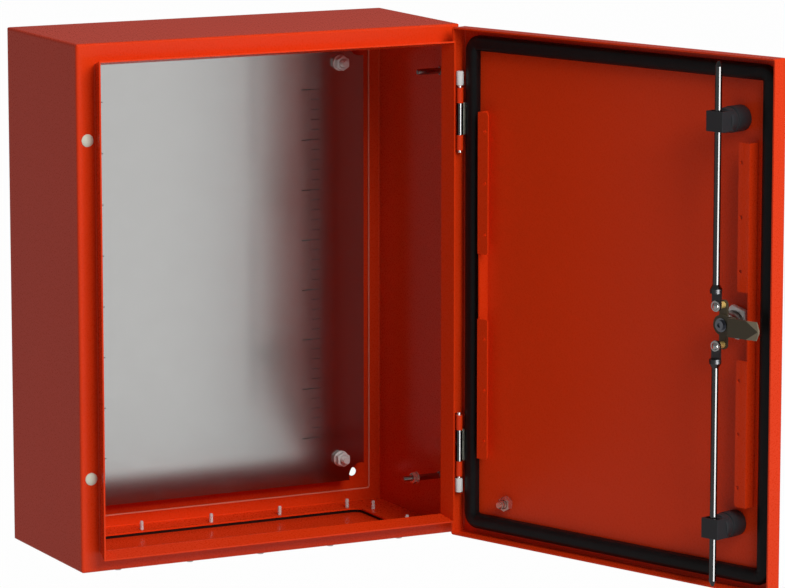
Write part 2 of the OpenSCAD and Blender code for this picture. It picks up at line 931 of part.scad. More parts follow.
// Quarter-turn lock through the door
module lock_housing() {
    bezel_t = 4;
    bevel = 1.2;
    bore_r = insert_d / 2 + insert_clearance;
    color(zinc)
        lock_point(0)
            rotate_extrude()
                polygon([
                    [bore_r, -bezel_t],
                    [bezel_d / 2 - bevel, -bezel_t],
                    [bezel_d / 2, bevel - bezel_t],
                    [bezel_d / 2, 0],
                    [barrel_d / 2, 0],
                    [barrel_d / 2, barrel_top_n],
                    [bore_r, barrel_top_n]
                ]);
}

module lock_nut() {
    nut_w = 1.4 * barrel_d;
    nut_h = 7.5;
    color(zinc)
        lock_point(door_sheet)
            rotate([0, 0, 15])
                hex_nut(nut_w, barrel_d + 2 * hole_clearance, nut_h);
}

// Turning insert: key recess outside, collar and square spindle inside
module lock_insert() {
    recess_r = insert_d / 2 - 2;
    recess_h = 10;
    key_pin_r = 2;
    bit_w = 2.4;
    face_n = -3;
    collar_t = 1.5;
    color(zinc)
        lock_point(0)
            difference() {
                union() {
                    translate([0, 0, face_n])
                        cylinder(d = insert_d, h = barrel_top_n - face_n + collar_t);
                    translate([0, 0, barrel_top_n + slide_clearance])
                        cylinder(d = insert_d + 2, h = collar_t);
                    translate([-spindle_w / 2, -spindle_w / 2, barrel_top_n])
                        cube([spindle_w, spindle_w, cam_top_n - hole_clearance - barrel_top_n]);
                }
                translate([0, 0, face_n - cut])
                    difference() {
                        cylinder(r = recess_r, h = recess_h + cut);
                        cylinder(r = key_pin_r, h = recess_h + cut);
                        translate([-bit_w / 2, -recess_r, 0])
                            cube([bit_w, 2 * recess_r, recess_h + cut]);
                    }
                translate([0, 0, cam_n - 6])
                    cylinder(d = cam_bolt_d + hole_clearance, h = 20);
            }
}

// Square hole for the spindle
module spindle_hole() {
    w = spindle_w + hole_clearance;
    translate([-w / 2, -w / 2, 0])
        cube([w, w, tongue_top_n]);
}

// Arm under the cam that carries a pin for each rod
module rod_arm() {
    color(dark_steel)
        lock_point(0)
            difference() {
                translate([0, 0, arm_n])
                    linear_extrude(cam_t) {
                        circle(r = cam_hub_r);
                        for (side = [-1, 1])
                            translate([0, side * cam_r])
                                circle(d = arm_w);
                        translate([-arm_w / 2, -cam_r])
                            square([arm_w, 2 * cam_r]);
                    }
                spindle_hole();
                both_pins()
                    cylinder(d = pin_shank_d + hole_clearance, h = tongue_top_n);
            }
}

// Cam with a cranked tongue, bevelled at its tip
module tongue_outline() {
    point_l = 3;
    point_w = 3;
    polygon([
        [-tongue_root - cam_t / 2, -tongue_w / 2],
        [point_l - tongue_reach, -tongue_w / 2],
        [-tongue_reach, -point_w / 2],
        [-tongue_reach, point_w / 2],
        [point_l - tongue_reach, tongue_w / 2],
        [-tongue_root - cam_t / 2, tongue_w / 2]
    ]);
}

// What a bevel takes off one corner of the tip
module tip_bevel() {
    edge_t = 0.5;
    bevel_run = norm([tongue_bevel_l, tongue_w / 2]);
    corner_gap = tongue_bevel_l * tongue_w / 2 / bevel_run;
    translate([-tongue_reach, 0, tongue_top_n])
        rotate([0, 0, atan2(tongue_w / 2, tongue_bevel_l)])
            rotate([-atan2(cam_t - edge_t, corner_gap), 0, 0])
                translate([-cut, 0, 0])
                    cube([bevel_run + 2 * cut, tongue_w, 2 * cam_t]);
}

module lock_cam() {
    color(dark_steel)
        lock_point(0)
            difference() {
                union() {
                    translate([0, 0, cam_n])
                        linear_extrude(cam_t) {
                            circle(r = cam_hub_r);
                            translate([-tongue_root - cam_t, -tongue_w / 2])
                                square([tongue_root + cam_t, tongue_w]);
                        }
                    translate([-tongue_root - cam_t, -tongue_w / 2, cam_n])
                        cube([cam_t, tongue_w, cam_crank + cam_t]);
                    translate([0, 0, tongue_n])
                        linear_extrude(cam_t)
                            tongue_outline();
                }
                spindle_hole();
                tip_bevel();
                mirror([0, 1, 0])
                    tip_bevel();
            }
}

// Centre screw with a washer and a hexagon socket
module cam_screw() {
    socket_w = 4;
    socket_h = 1.6;
    color(zinc)
        lock_point(cam_top_n)
            difference() {
                union() {
                    ring(cam_washer_d, cam_bolt_d + hole_clearance, cam_washer_t);
                    translate([0, 0, cam_washer_t])
                        cylinder(d = cam_bolt_head_d, h = cam_bolt_head_h);
                    translate([0, 0, -5])
                        cylinder(d = cam_bolt_d, h = 5 + cam_washer_t);
                }
                translate([0, 0, cam_washer_t + cam_bolt_head_h - socket_h])
                    cylinder(d = socket_w * wrench_ratio, h = socket_h + cut, $fn = 6);
            }
}

// Pivots of the rods on the arm: a riveted screw with a brass spacer under the eye
module pin_screws() {
    socket_w = 3.5;
    socket_h = 1.4;
    flange_h = 1.1;
    flange_bevel = 0.6;
    crown_d = 0.7 * pin_head_d;
    rivet_d = 1.75 * pin_shank_d;
    rivet_h = 1.2;
    head_n = eye_top_n + pin_running_gap;
    pivot_n = eye_n - pin_running_gap;
    color(zinc)
        lock_point(0)
            both_pins()
                difference() {
                    union() {
                        translate([0, 0, arm_n - rivet_h])
                            cylinder(d = rivet_d, h = rivet_h);
                        translate([0, 0, arm_n - rivet_h])
                            cylinder(d = pin_shank_d, h = head_n - arm_n + rivet_h);
                        translate([0, 0, pivot_n])
                            cylinder(d = pin_pivot_d, h = head_n - pivot_n);
                        translate([0, 0, head_n])
                            cylinder(d1 = pin_head_d, d2 = pin_head_d - 2 * flange_bevel, h = flange_h);
                        translate([0, 0, head_n])
                            cylinder(d = crown_d, h = pin_head_h);
                    }
                    translate([0, 0, head_n + pin_head_h - socket_h])
                        cylinder(d = socket_w * wrench_ratio, h = socket_h + cut, $fn = 6);
                }
}

module pin_bushes() {
    color(brass)
        lock_point(cam_n)
            both_pins()
                ring(bush_d, pin_shank_d + hole_clearance, eye_n - pin_running_gap - cam_n);
}

// Lock rods with a flat eye, a collar and a pointed tip, the eye's pin at the origin
module lock_rod() {
    tip_y = rod_tip_z - cam_r;
    point_r = 0.175 * rod_d;
    difference() {
        union() {
            translate([-eye_w / 2, 0, -eye_t])
                cube([eye_w, eye_l + collar_l / 4, eye_t]);
            translate([0, 0, -eye_t])
                cylinder(d = eye_w, h = eye_t);
            rotate([-90, 0, 0])
                rotate_extrude()
                    polygon([
                        [0, eye_l],
                        [collar_d / 2, eye_l],
                        [collar_d / 2, eye_l + collar_l / 2],
                        [rod_d / 2, eye_l + collar_l],
                        [rod_d / 2, tip_y - rod_tip_l],
                        [point_r, tip_y],
                        [0, tip_y]
                    ]);
        }
        translate([0, 0, -2 * eye_t])
            cylinder(d = pin_pivot_d + 2 * pin_clearance, h = 4 * eye_t);
    }
}

module upper_rod() {
    color(zinc)
        lock_point(rod_n)
            translate([0, -cam_r, 0])
                rotate([0, 0, 180])
                    lock_rod();
}

module lower_rod() {
    color(zinc)
        lock_point(rod_n)
            translate([0, cam_r, 0])
                lock_rod();
}

body_shell();
back_panel();
mounting_plate();
plate_studs();
plate_spacers();
plate_washers();
plate_nuts();
gland_plate();
gland_gasket();
gland_screws();
flange_plugs();
wall_studs();
earth_fasteners();
upper_hinge_bracket();
lower_hinge_bracket();
hinge_screws();
hinge_pins();
hinge_caps();
door_panel();
upper_hinge_leaf();
lower_hinge_leaf();
door_seal();
hinge_side_rail();
lock_side_rail();
upper_rod_guide();
lower_rod_guide();
door_earth_stud();
door_earth_nut();
lock_housing();
lock_nut();
lock_insert();
rod_arm();
lock_cam();
cam_screw();
pin_screws();
pin_bushes();
upper_rod();
lower_rod();
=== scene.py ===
"""Finishes for an orange-red wall cabinet with an open door and a rod lock."""

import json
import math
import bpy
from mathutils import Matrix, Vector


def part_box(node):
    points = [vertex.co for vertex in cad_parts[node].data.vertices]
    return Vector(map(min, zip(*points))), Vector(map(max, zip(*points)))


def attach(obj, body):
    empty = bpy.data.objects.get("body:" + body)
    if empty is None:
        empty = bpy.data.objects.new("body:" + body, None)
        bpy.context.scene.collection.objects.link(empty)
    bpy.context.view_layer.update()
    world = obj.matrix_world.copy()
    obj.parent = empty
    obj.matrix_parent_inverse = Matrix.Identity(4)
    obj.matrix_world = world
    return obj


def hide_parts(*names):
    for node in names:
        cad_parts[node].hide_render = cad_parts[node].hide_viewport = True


bl_info = {
    "name": "Wall cabinet finishes",
    "version": (1, 0, 0),
    "blender": (4, 5, 0),
    "location": "3D View > Sidebar > Cabinet",
    "description": "Paint, foam, plated hardware and studio for a sheet-metal wall cabinet",
    "category": "Object",
}

import bmesh
import bpy
from bpy.props import FloatProperty, FloatVectorProperty, IntProperty, PointerProperty
from mathutils import Matrix, Vector

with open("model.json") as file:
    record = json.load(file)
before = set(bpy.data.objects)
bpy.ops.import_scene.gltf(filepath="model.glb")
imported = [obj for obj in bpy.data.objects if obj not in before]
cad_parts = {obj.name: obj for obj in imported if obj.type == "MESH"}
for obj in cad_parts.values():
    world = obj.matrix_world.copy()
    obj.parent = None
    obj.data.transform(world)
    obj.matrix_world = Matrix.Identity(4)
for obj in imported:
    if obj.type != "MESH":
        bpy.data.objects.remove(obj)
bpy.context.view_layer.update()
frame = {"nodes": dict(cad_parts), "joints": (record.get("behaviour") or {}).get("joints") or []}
NODES = frame["nodes"]
JOINTS = {joint["name"]: joint for joint in frame["joints"]}
MM = 0.001
ROUND_SIDES = 48
QUARTERS = ((1, 1), (-1, 1), (-1, -1), (1, -1))

# Directions of the cabinet and of its open door
UP = Vector((0, 0, 1))
HINGE = JOINTS["door_hinge"]["pos_m"]
LOCK = Vector(JOINTS["lock_turn"]["pos_m"])
DOOR_MIDDLE = LOCK - LOCK.z * UP
OFF_DOOR = -Vector(JOINTS["lock_turn"]["axis"]).normalized()
ACROSS_DOOR = UP.cross(OFF_DOOR)

# Where the body's hardware stands, in millimetres, as the solids have it
BODY_FRONT = -170.0
BACK_INNER = -1.5
REAR_FLANGE = 13.5
PLATE_FRONT = -20.0
PLATE_STUDS = [(x, z) for x in (-146, 146) for z in (-199.5, 199.5)]
GLAND_MIDDLE = -82.5
GLAND_UNDER = -255.0
GASKET_UNDER = -253.0
GLAND_ROWS = [(x, side * 56.5) for side in (-1, 1) for x in (-150, -75, 0, 75, 150)]
GLAND_SIDES = [(side * 169.5, y) for side in (-1, 1) for y in (-37, 37)]
WALL_INNER = 198.5
WALL_STUD_Y = -133.0
WALL_STUD_RISE = 200.5
WALL_NUT_SEAT = 26.0
PLUG_X = -189.5
PLUG_RISE = 160.0
CAP_SEAT = 192.6

# Where the door's hardware stands, in millimetres, as the solids have it
DOOR_WIDTH = 394.0
DOOR_HEIGHT = 497.0
DOOR_SHEET = 1.5
SEAL_INSET = 7.5
DOOR_STUD_INSET = 59.0
DOOR_STUD_Z = -211.5
LOCK_INSET = 343.0
GUIDE_RISE = 188.3
PIN_RISE = 18.5

# Threads, in millimetres, with the ridge's depth as a share of the pitch
STUD_DIAMETER = 8.0
PLATE_STUD_LENGTH = 32.5
DOOR_STUD_LENGTH = 13.5
GLAND_SCREW_DIAMETER = 4.0
GLAND_SCREW_LENGTH = 15.0
THREAD_DEPTH = 0.45

# Nuts and washers, in millimetres: width across flats or outer radius, bore radius and height
STUD_NUT = (13, 4.05, 6.4)
STUD_WASHER = (8, 4.1, 1.6)
WALL_NUT = (10, 2.55, 4.8)
WALL_WASHER = (6, 2.6, 1.4)
LOCK_NUT = (28, 10.1, 7.5)
LOCK_NUT_TURN = math.radians(15)

# Columns of the plate's printed scales, in millimetres
FINE_COLUMNS = (-124.45, 118.75)
COARSE_COLUMNS = (-114.45, 108.75)
COARSE_STEP = 5
FIRST_TICK = -175.4

# Where the finish changes on a piece, in metres; the taper is half a width over its length
EYE_END = 0.0345
KNUCKLE_REACH = 0.0044
# TONGUE_END, TONGUE_TAPER and BEVEL_LENGTH bound the painted highlight on the cam's bevels
TONGUE_END = 0.0485
TONGUE_TAPER = 8.6 / 14
BEVEL_LENGTH = 0.014
TOOL_MARKS = 0.0012

# Studio, in metres: place and size of each lamp, and what the narrow one lights
LAMPS = {
    "key": ((0.8, -3.9, 2.85), (3.0, 3.0)),
    "card": ((1.08, -2.7, -0.45), (0.48, 2.4)),
    "strip": ((0.65, -2.9, -0.5), (1.9, 2.4)),
}
LAMP_AIM = Vector((0.1, -0.2, 0))
CAMERA_PLACE = (-1.7982, -3.9339, 0.7052)
FLOOR_HALF = 30.0
FLOOR_Z = -0.9
FLOOR_WASH = 0.985
BRIGHT_METAL = (
    "upper_rod", "lower_rod", "upper_hinge_leaf", "lower_hinge_leaf", "hinge_pins", "cam_screw",
    "pin_screws_turned", "lock_nut_chamfered", "lock_housing",
)


def basis(x_axis, y_axis, z_axis, origin):
    """A frame with those axes at an origin given in metres."""
    axes = Matrix((x_axis, y_axis, z_axis)).transposed().to_4x4()
    return Matrix.Translation(origin) @ axes


def facing_front(x, y, z):
    """A frame whose Z points out of the cabinet's front; its X and Y are right and up."""
    return basis((1, 0, 0), (0, 0, 1), (0, -1, 0), Vector((x, y, z)) * MM)


def facing_left(x, y, z):
    """A frame whose Z points away from the hinge-side wall."""
    return basis((0, -1, 0), (0, 0, 1), (-1, 0, 0), Vector((x, y, z)) * MM)


def facing_up(x, y, z):
    """A frame with the cabinet's own directions."""
    return Matrix.Translation(Vector((x, y, z)) * MM)


def on_door(s, n, z):
    """A frame on the door, s from its hinge side, n off its outer face; its Z points inwards."""
    origin = DOOR_MIDDLE + MM * ((s - LOCK_INSET) * ACROSS_DOOR + n * OFF_DOOR + z * UP)
    return basis(ACROSS_DOOR, UP, OFF_DOOR, origin)


def off_door(name):
    """How far a CAD node reaches off the door's outer face, lowest and highest."""
    reach = [(v.co - DOOR_MIDDLE).dot(OFF_DOOR) / MM for v in NODES[name].data.vertices]
    return min(reach), max(reach)


# Sizes and colours that a user may change
class PaintSettings(bpy.types.PropertyGroup):
    """Powder coat of the sheet metal."""

    colour: FloatVectorProperty(
        name="Colour",
        description="Colour of the powder coat",
        subtype="COLOR",
        size=3,
        min=0,
        max=1,
        default=(0.74, 0.041, 0.005),
    )
    roughness: FloatProperty(
        name="Roughness",
        description="Mean roughness of the powder coat",
        min=0,
        max=1,
        default=0.28,
    )
    peel: FloatProperty(
        name="Peel size",
        description="Width of the coat's fine ripples",
        subtype="DISTANCE",
        unit="LENGTH",
        min=0.0002,
        max=0.01,
        default=0.0016,
    )


class PlateSettings(bpy.types.PropertyGroup):
    """Galvanised mounting plate and its printed scale."""

    colour: FloatVectorProperty(
        name="Colour",
        description="Colour of the zinc coat",
        subtype="COLOR",
        size=3,
        min=0,
        max=1,
        default=(0.50, 0.50, 0.491),
    )
    roughness: FloatProperty(
        name="Roughness",
        description="Mean roughness of the zinc coat",
        min=0,
        max=1,
        default=0.18,
    )
    tick_count: IntProperty(
        name="Ticks", description="Fine ticks of one scale", min=2, max=60, default=36
    )
    tick_pitch: FloatProperty(
        name="Tick pitch",
        description="Distance between two fine ticks",
        subtype="DISTANCE",
        unit="LENGTH",
        default=0.010,
    )


class FoamSettings(bpy.types.PropertyGroup):
    """Foam strip that seals the door."""

    width: FloatProperty(
        name="Width",
        description="Width of the foam strip",
        subtype="DISTANCE",
        unit="LENGTH",
        default=0.0145,
    )
    height: FloatProperty(
        name="Height",
        description="Height of the foam strip off the door",
        subtype="DISTANCE",
        unit="LENGTH",
        default=0.0086,
    )
    ripple: FloatProperty(
        name="Ripple",
        description="How far the poured foam wanders from an even height",
        subtype="DISTANCE",
        unit="LENGTH",
        default=0.0002,
    )


class HardwareSettings(bpy.types.PropertyGroup):
    """Threads of the studs and screws."""

    stud_pitch: FloatProperty(
        name="Stud pitch",
        description="Thread pitch of the large studs",
        subtype="DISTANCE",
        unit="LENGTH",
        default=0.00125,
    )
    screw_pitch: FloatProperty(
        name="Screw pitch",
        description="Thread pitch of the gland screws",
        subtype="DISTANCE",
        unit="LENGTH",
        default=0.0007,
    )


class StudioSettings(bpy.types.PropertyGroup):
    """Camera and light."""

    lens: FloatProperty(
        name="Lens",
        description="Focal length of the camera in millimetres",
        min=20,
        max=400,
        default=204.0,
    )
    pan: FloatProperty(
        name="Pan",
        description="Turn of the camera from straight on",
        subtype="ANGLE",
        unit="ROTATION",
        default=math.radians(27.097),
    )
    tilt: FloatProperty(
        name="Tilt",
        description="How far the camera looks down",
        subtype="ANGLE",
        unit="ROTATION",
        default=math.radians(9.579),
    )
    key_watts: FloatProperty(
        name="Key", description="Power of the large front light", min=0, default=212
    )
    card_watts: FloatProperty(
        name="Card",
        description="Power of the pale card that bright metal mirrors",
        min=0,
        default=3.2,
    )
    strip_watts: FloatProperty(
        name="Strip",
        description="Power of the narrow light that round metal mirrors",
        min=0,
        default=108,
    )
    sky: FloatProperty(
        name="Sky", description="Strength of the even light from all round", min=0, default=0.184
    )
    backdrop: FloatProperty(
        name="Backdrop", description="Strength of the backdrop in mirrors", min=0, default=0.13
    )


SETTINGS = {
    "cabinet_paint": PaintSettings,
    "cabinet_plate": PlateSettings,
    "cabinet_foam": FoamSettings,
    "cabinet_hardware": HardwareSettings,
    "cabinet_studio": StudioSettings,
}


# Shader maths
class Field:
    """A shader value that takes part in Python arithmetic."""

    def __init__(self, tree, socket):
        self.tree = tree
        self.socket = socket

    def _math(self, operation, first, second):
        node = self.tree.nodes.new("ShaderNodeMath")
        node.operation = operation
        for slot, term in zip(node.inputs, (first, second)):
            if isinstance(term, Field):
                self.tree.links.new(term.socket, slot)
            else:
                slot.default_value = term
        return Field(self.tree, node.outputs[0])

    def __add__(self, other):
        return self._math("ADD", self, other)

    def __radd__(self, other):
        return self._math("ADD", other, self)

    def __sub__(self, other):
        return self._math("SUBTRACT", self, other)

    def __rsub__(self, other):
        return self._math("SUBTRACT", other, self)

    def __mul__(self, other):
        return self._math("MULTIPLY", self, other)

    def __rmul__(self, other):
        return self._math("MULTIPLY", other, self)

    def __truediv__(self, other):
        return self._math("DIVIDE", self, other)

    def __rtruediv__(self, other):
        return self._math("DIVIDE", other, self)

    def __gt__(self, other):
        return self._math("GREATER_THAN", self, other)

    def top(self, other):
        """The larger of two values."""
        return self._math("MAXIMUM", self, other)


class NodeTree:
    """A node tree that is built one node at a time."""

    def __init__(self, tree):
        self.tree = tree

    def node(self, kind, settings=None, **sockets):
        """Adds a node, sets it up, then fills its sockets with values or links."""
        made = self.tree.nodes.new(kind)
        for key, value in (settings or {}).items():
            setattr(made, key, value)
        for key, value in sockets.items():
            self.fill(made.inputs[key.replace("_", " ")], value)
        return made

    def fill(self, socket, value):
        """Links a socket to a field, a node's first output or an output, or sets its value."""
        if isinstance(value, Field):
            self.tree.links.new(value.socket, socket)
        elif isinstance(value, bpy.types.Node):
            self.tree.links.new(value.outputs[0], socket)
        elif isinstance(value, bpy.types.NodeSocket):
            self.tree.links.new(value, socket)
        else:
            socket.default_value = value

    def field(self, node, output=0):
        """One output of a node as a value for arithmetic."""
        return Field(self.tree, node.outputs[output])


class Finish(NodeTree):
    """One surface finish on Object coordinates."""

    def __init__(self, name="finish"):
        self.material = bpy.data.materials.new(name)
        self.material.use_nodes = True
        super().__init__(self.material.node_tree)
        self.tree.nodes.clear()
        self.shader = self.node("ShaderNodeBsdfPrincipled")
        self.node("ShaderNodeOutputMaterial", Surface=self.shader)
        self.place = self.node("ShaderNodeTexCoord").outputs["Object"]

    def set(self, **sockets):
        """Fills the surface shader's sockets."""
        for key, value in sockets.items():
            self.fill(self.shader.inputs[key.replace("_", " ")], value)

    def stretched(self, x, y, z):
        """Object coordinates with their own scale on each axis."""
        return self.node("ShaderNodeMapping", Vector=self.place, Scale=(x, y, z)).outputs[0]

    def noise(self, size, detail=2.0, place=None):
        """Soft noise whose features are about that size in metres."""
        made = self.node(
            "ShaderNodeTexNoise", Vector=place or self.place, Scale=1 / size, Detail=detail
        )
        return self.field(made, "Fac")

    def tint(self, mask, dark, light):
        """A colour between two, by a mask."""
        return self.node(
            "ShaderNodeMix",
            {"data_type": "RGBA"},
            Factor=mask,
            A=(*dark, 1),
            B=(*light, 1),
        ).outputs["Result"]

    def bump(self, height, strength, depth):
        """Relief from a height value."""
        made = self.node("ShaderNodeBump", Height=height, Strength=strength, Distance=depth)
        self.set(Normal=made)


def shade(colour, factor):
    """A colour made darker or lighter."""
    return tuple(min(1.0, channel * factor) for channel in colour)


def powder_coat():
    """Orange-red powder coat with a fine peel."""
    paint = bpy.context.scene.cabinet_paint
    made = Finish()
    drift = made.noise(0.12)
    peel = made.noise(paint.peel, 1.0)
    fine = made.noise(0.0004, 1.0)
    colour = made.tint(drift, shade(paint.colour, 0.96), shade(paint.colour, 1.04))
    made.set(Base_Color=colour, Specular_IOR_Level=0.24)
    made.set(Roughness=paint.roughness - 0.04 + 0.08 * peel)
    made.bump(peel + 0.4 * fine, 0.05, 0.0002)
    return made.material


def galvanised():
    """Zinc-coated sheet with a faint spangle and rolling lines."""
    plate = bpy.context.scene.cabinet_plate
    made = Finish()
    cells = made.node("ShaderNodeTexVoronoi", Vector=made.place, Scale=80.0)
    spangle = made.field(made.node("ShaderNodeSeparateColor", Color=cells.outputs["Color"]), 0)
    lines = made.noise(0.002, 3.0, made.stretched(0.05, 1, 1))
    mask = 0.3 * spangle + 0.7 * lines
    colour = made.tint(mask, shade(plate.colour, 0.97), shade(plate.colour, 1.03))
    made.set(Base_Color=colour, Metallic=1.0)
    made.set(Roughness=plate.roughness - 0.02 + 0.03 * lines + 0.01 * spangle)
    made.bump(lines, 0.02, 0.0001)
    return made.material


def plated(colour, roughness, metal=1.0):
    """Plated or turned metal with fine marks; a cloudy coat makes it less of a mirror."""
    made = Finish()
    marks = made.noise(TOOL_MARKS)
    cloud = made.noise(0.01)
    made.set(Base_Color=made.tint(cloud, shade(colour, 0.9), shade(colour, 1.06)))
    made.set(Metallic=metal, Roughness=roughness - 0.04 + 0.08 * marks)
    made.bump(marks, 0.06, 0.0001)
    return made.material


def drawn_rod():
    """Bright drawn rod whose forged eye, near the lock, stays dull and dark."""
    made = Finish()
    marks = made.noise(TOOL_MARKS, place=made.stretched(1, 1, 0.1))
    height = made.field(made.node("ShaderNodeSeparateXYZ", Vector=made.place), "Z") - LOCK.z
    bright = height * height > EYE_END ** 2
    made.set(Base_Color=made.tint(bright, (0.11, 0.11, 0.115), (0.135, 0.135, 0.135)))
    made.set(Metallic=1.0, Roughness=0.34 - 0.24 * bright + 0.06 * marks)
    made.bump(marks, 0.04, 0.0001)
    return made.material


def tongue_painted_bevel_highlight():
    """Dark passivated cam whose tongue end is ground to bevels; their lighter colour is a
    painted highlight.
    """
    made = Finish()
    marks = made.noise(TOOL_MARKS)
    apart = made.node("ShaderNodeSeparateXYZ", Vector=made.place)
    along = made.field(apart, "X") * ACROSS_DOOR.x + made.field(apart, "Y") * ACROSS_DOOR.y
    left = TONGUE_END + LOCK.dot(ACROSS_DOOR) - along
    half = TONGUE_TAPER * left
    rise = made.field(apart, "Z") - LOCK.z
    bevel_highlight = (rise * rise > half * half) * (1 - (left > BEVEL_LENGTH))
    # The lighter colour on the bevels is a painted highlight
    made.set(Base_Color=made.tint(bevel_highlight, (0.085, 0.072, 0.046), (0.27, 0.225, 0.15)))
    made.set(Metallic=0.35, Roughness=0.32 + 0.06 * marks)
    made.bump(marks, 0.06, 0.0001)
    return made.material


def hinge_leaf():
    """Polished knuckle round the hinge pin, and a dull olive leaf beside it."""
    made = Finish()
    marks = made.noise(TOOL_MARKS)
    apart = made.node("ShaderNodeSeparateXYZ", Vector=made.place)
    across = made.field(apart, "X") - HINGE[0]
    ahead = made.field(apart, "Y") - HINGE[1]
    flat = across * across + ahead * ahead > KNUCKLE_REACH ** 2
    made.set(Base_Color=made.tint(flat, (0.18, 0.18, 0.18), (0.74, 0.74, 0.62)))
    made.set(Metallic=1 - 0.7 * flat, Roughness=0.12 + 0.3 * flat + 0.06 * marks)
    made.bump(marks, 0.04, 0.0001)
    return made.material


def foam():
    """Poured black foam with a closed skin and fine pores."""
    made = Finish()
    pores = made.noise(0.0007)
    film = made.noise(0.006)
    made.set(Base_Color=made.tint(film, (0.004, 0.004, 0.004), (0.010, 0.010, 0.011)))
    made.set(Roughness=0.34 + 0.16 * pores, Specular_IOR_Level=0.3)
    made.bump(pores + 0.5 * film, 0.15, 0.0003)
    return made.material


def moulded(colour, roughness):
    """Moulded plastic with a fine spark-eroded grain."""
    made = Finish()
    spark = made.noise(0.0006, 1.0)
    cloud = made.noise(0.02)
    made.set(Base_Color=made.tint(cloud, shade(colour, 0.92), shade(colour, 1.08)))
    made.set(Roughness=roughness - 0.05 + 0.1 * spark)
    made.bump(spark, 0.12, 0.0001)
    return made.material


def printed_ink():
    """Dark ink of the printed scale."""
    made = Finish()
    wear = made.noise(0.001)
    made.set(Base_Color=made.tint(wear, (0.012, 0.012, 0.012), (0.035, 0.035, 0.035)))
    made.set(Roughness=0.5 + 0.2 * wear)
    return made.material


FINISHES = {
    "paint": powder_coat,
    "galvanised": galvanised,
    "zinc": lambda: plated((0.90, 0.88, 0.86), 0.22, 0.4),
    "mirror_zinc": lambda: plated((0.44, 0.39, 0.37), 0.24),
    "turned_zinc": lambda: plated((0.82, 0.81, 0.79), 0.13),
    # Pinkish copper tint on zinc is a painted reflection of the red paint
    "copper_flash": lambda: plated((0.84, 0.50, 0.42), 0.2, 0.88),
    # Pale salmon bead colour: a painted highlight along the back seam
    "filler": lambda: moulded((0.86, 0.24, 0.16), 0.3),
    "leaf_zinc": hinge_leaf,
    # The cam's lighter bevels are a painted highlight
    "ground_steel": tongue_painted_bevel_highlight,
    "dark_chrome": lambda: plated((0.30, 0.31, 0.35), 0.15),
    "rod_steel": drawn_rod,
    "dark_steel": lambda: plated((0.11, 0.092, 0.058), 0.34, 0.35),
    "brass": lambda: plated((0.95, 0.68, 0.22), 0.25, 0.4),
    "foam": foam,
    "guide_plastic": lambda: moulded((0.026, 0.027, 0.030), 0.42),
    "white_plastic": lambda: moulded((0.80, 0.80, 0.78), 0.38),
    "plug_plastic": lambda: moulded((0.78, 0.80, 0.66), 0.42),
    "ink": printed_ink,
}


def finish(slot):
    """The finish of a slot, made and named at its first use."""
    key = "cabinet_" + slot
    if key not in bpy.data.materials:
        FINISHES[slot]().name = key
    return bpy.data.materials[key]


def coat(slot, *names):
    """Gives CAD nodes the finish of a material slot."""
    for name in names:
        data = NODES[name].data
        data.materials.clear()
        data.materials.append(finish(slot))


# Meshes
def new_piece(name, mesh, slot, body, replaced=(), smooth=32, look=None):
    """Turns a mesh that is at its place into a finished piece of the cabinet."""
    mesh.name = name
    piece = bpy.data.objects.new(name, mesh)
    bpy.context.scene.collection.objects.link(piece)
    mesh.materials.clear()
    mesh.materials.append(finish(look or slot))
    mesh.shade_smooth()
    mesh.set_sharp_from_angle(angle=math.radians(smooth))
    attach(piece, body)
    if replaced:
        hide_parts(*replaced)
    return piece


def solid(builder, place):
    """A mesh from a function that fills a bmesh in local millimetres."""
    shape = bmesh.new()
    builder(shape)
    bmesh.ops.remove_doubles(shape, verts=shape.verts, dist=1e-5)
    bmesh.ops.recalc_face_normals(shape, faces=shape.faces)
    mesh = bpy.data.meshes.new("solid")
    shape.to_mesh(mesh)
    shape.free()
    mesh.transform(place @ Matrix.Scale(MM, 4))
    return mesh


def hexagon(width, angle):
    """Distance from the axis to a hexagon's side at an angle."""
    sector = math.radians(60)
    return width / 2 / math.cos((angle + sector / 2) % sector - sector / 2)


def ring(shape, radius, height):
    """A closed ring of points; radius and height are numbers or functions of the angle."""
    points = []
    for i in range(ROUND_SIDES):
        a = math.tau * i / ROUND_SIDES
        r = radius(a) if callable(radius) else radius
        h = height(a) if callable(height) else height
        points.append(shape.verts.new((r * math.cos(a), r * math.sin(a), h)))
    return points


def skin(shape, rings, closed=False):
    """Faces between neighbouring rings, with the two ends capped or joined."""
    pairs = list(zip(rings, rings[1:]))
    if closed:
        pairs.append((rings[-1], rings[0]))
    for low, high in pairs:
        for i in range(len(low)):
            j = (i + 1) % len(low)
            shape.faces.new((low[i], low[j], high[j], high[i]))
    if not closed:
        shape.faces.new(rings[0])
        shape.faces.new(rings[-1])


def turned(profile):
    """A solid of revolution from (radius, height) pairs."""

    def build(shape):
        skin(shape, [ring(shape, r, h) for r, h in profile])

    return build


def hex_nut(width, bore, height):
    """A hexagon nut with both ends chamfered and a countersunk bore."""

    def build(shape):
        face = 0.475 * width
        slope = math.tan(math.radians(30))

        def edge(a):
            return hexagon(width, a)

        def low(a):
            return (hexagon(width, a) - face) * slope

        def high(a):
            return height - (hexagon(width, a) - face) * slope

        sink = 0.06 * width
        rings = [
            ring(shape, bore, sink),
            ring(shape, bore + sink, 0),
            ring(shape, face, 0),
            ring(shape, edge, low),
            ring(shape, edge, high),
            ring(shape, face, height),
            ring(shape, bore + sink, height),
            ring(shape, bore, height - sink),
        ]
        skin(shape, rings, closed=True)

    return build


def washer(outer, bore, height, base=0.0):
    """A stamped washer with rounded rims."""
    soft = 0.25 * height

    def build(shape):
        profile = [
            (bore, base),
            (outer - soft, base),
            (outer, base + soft),
            (outer, base + height - soft),
            (outer - soft, base + height),
            (bore + soft, base + height),
            (bore, base + height - soft),
        ]
        skin(shape, [ring(shape, r, h) for r, h in profile], closed=True)

    return build


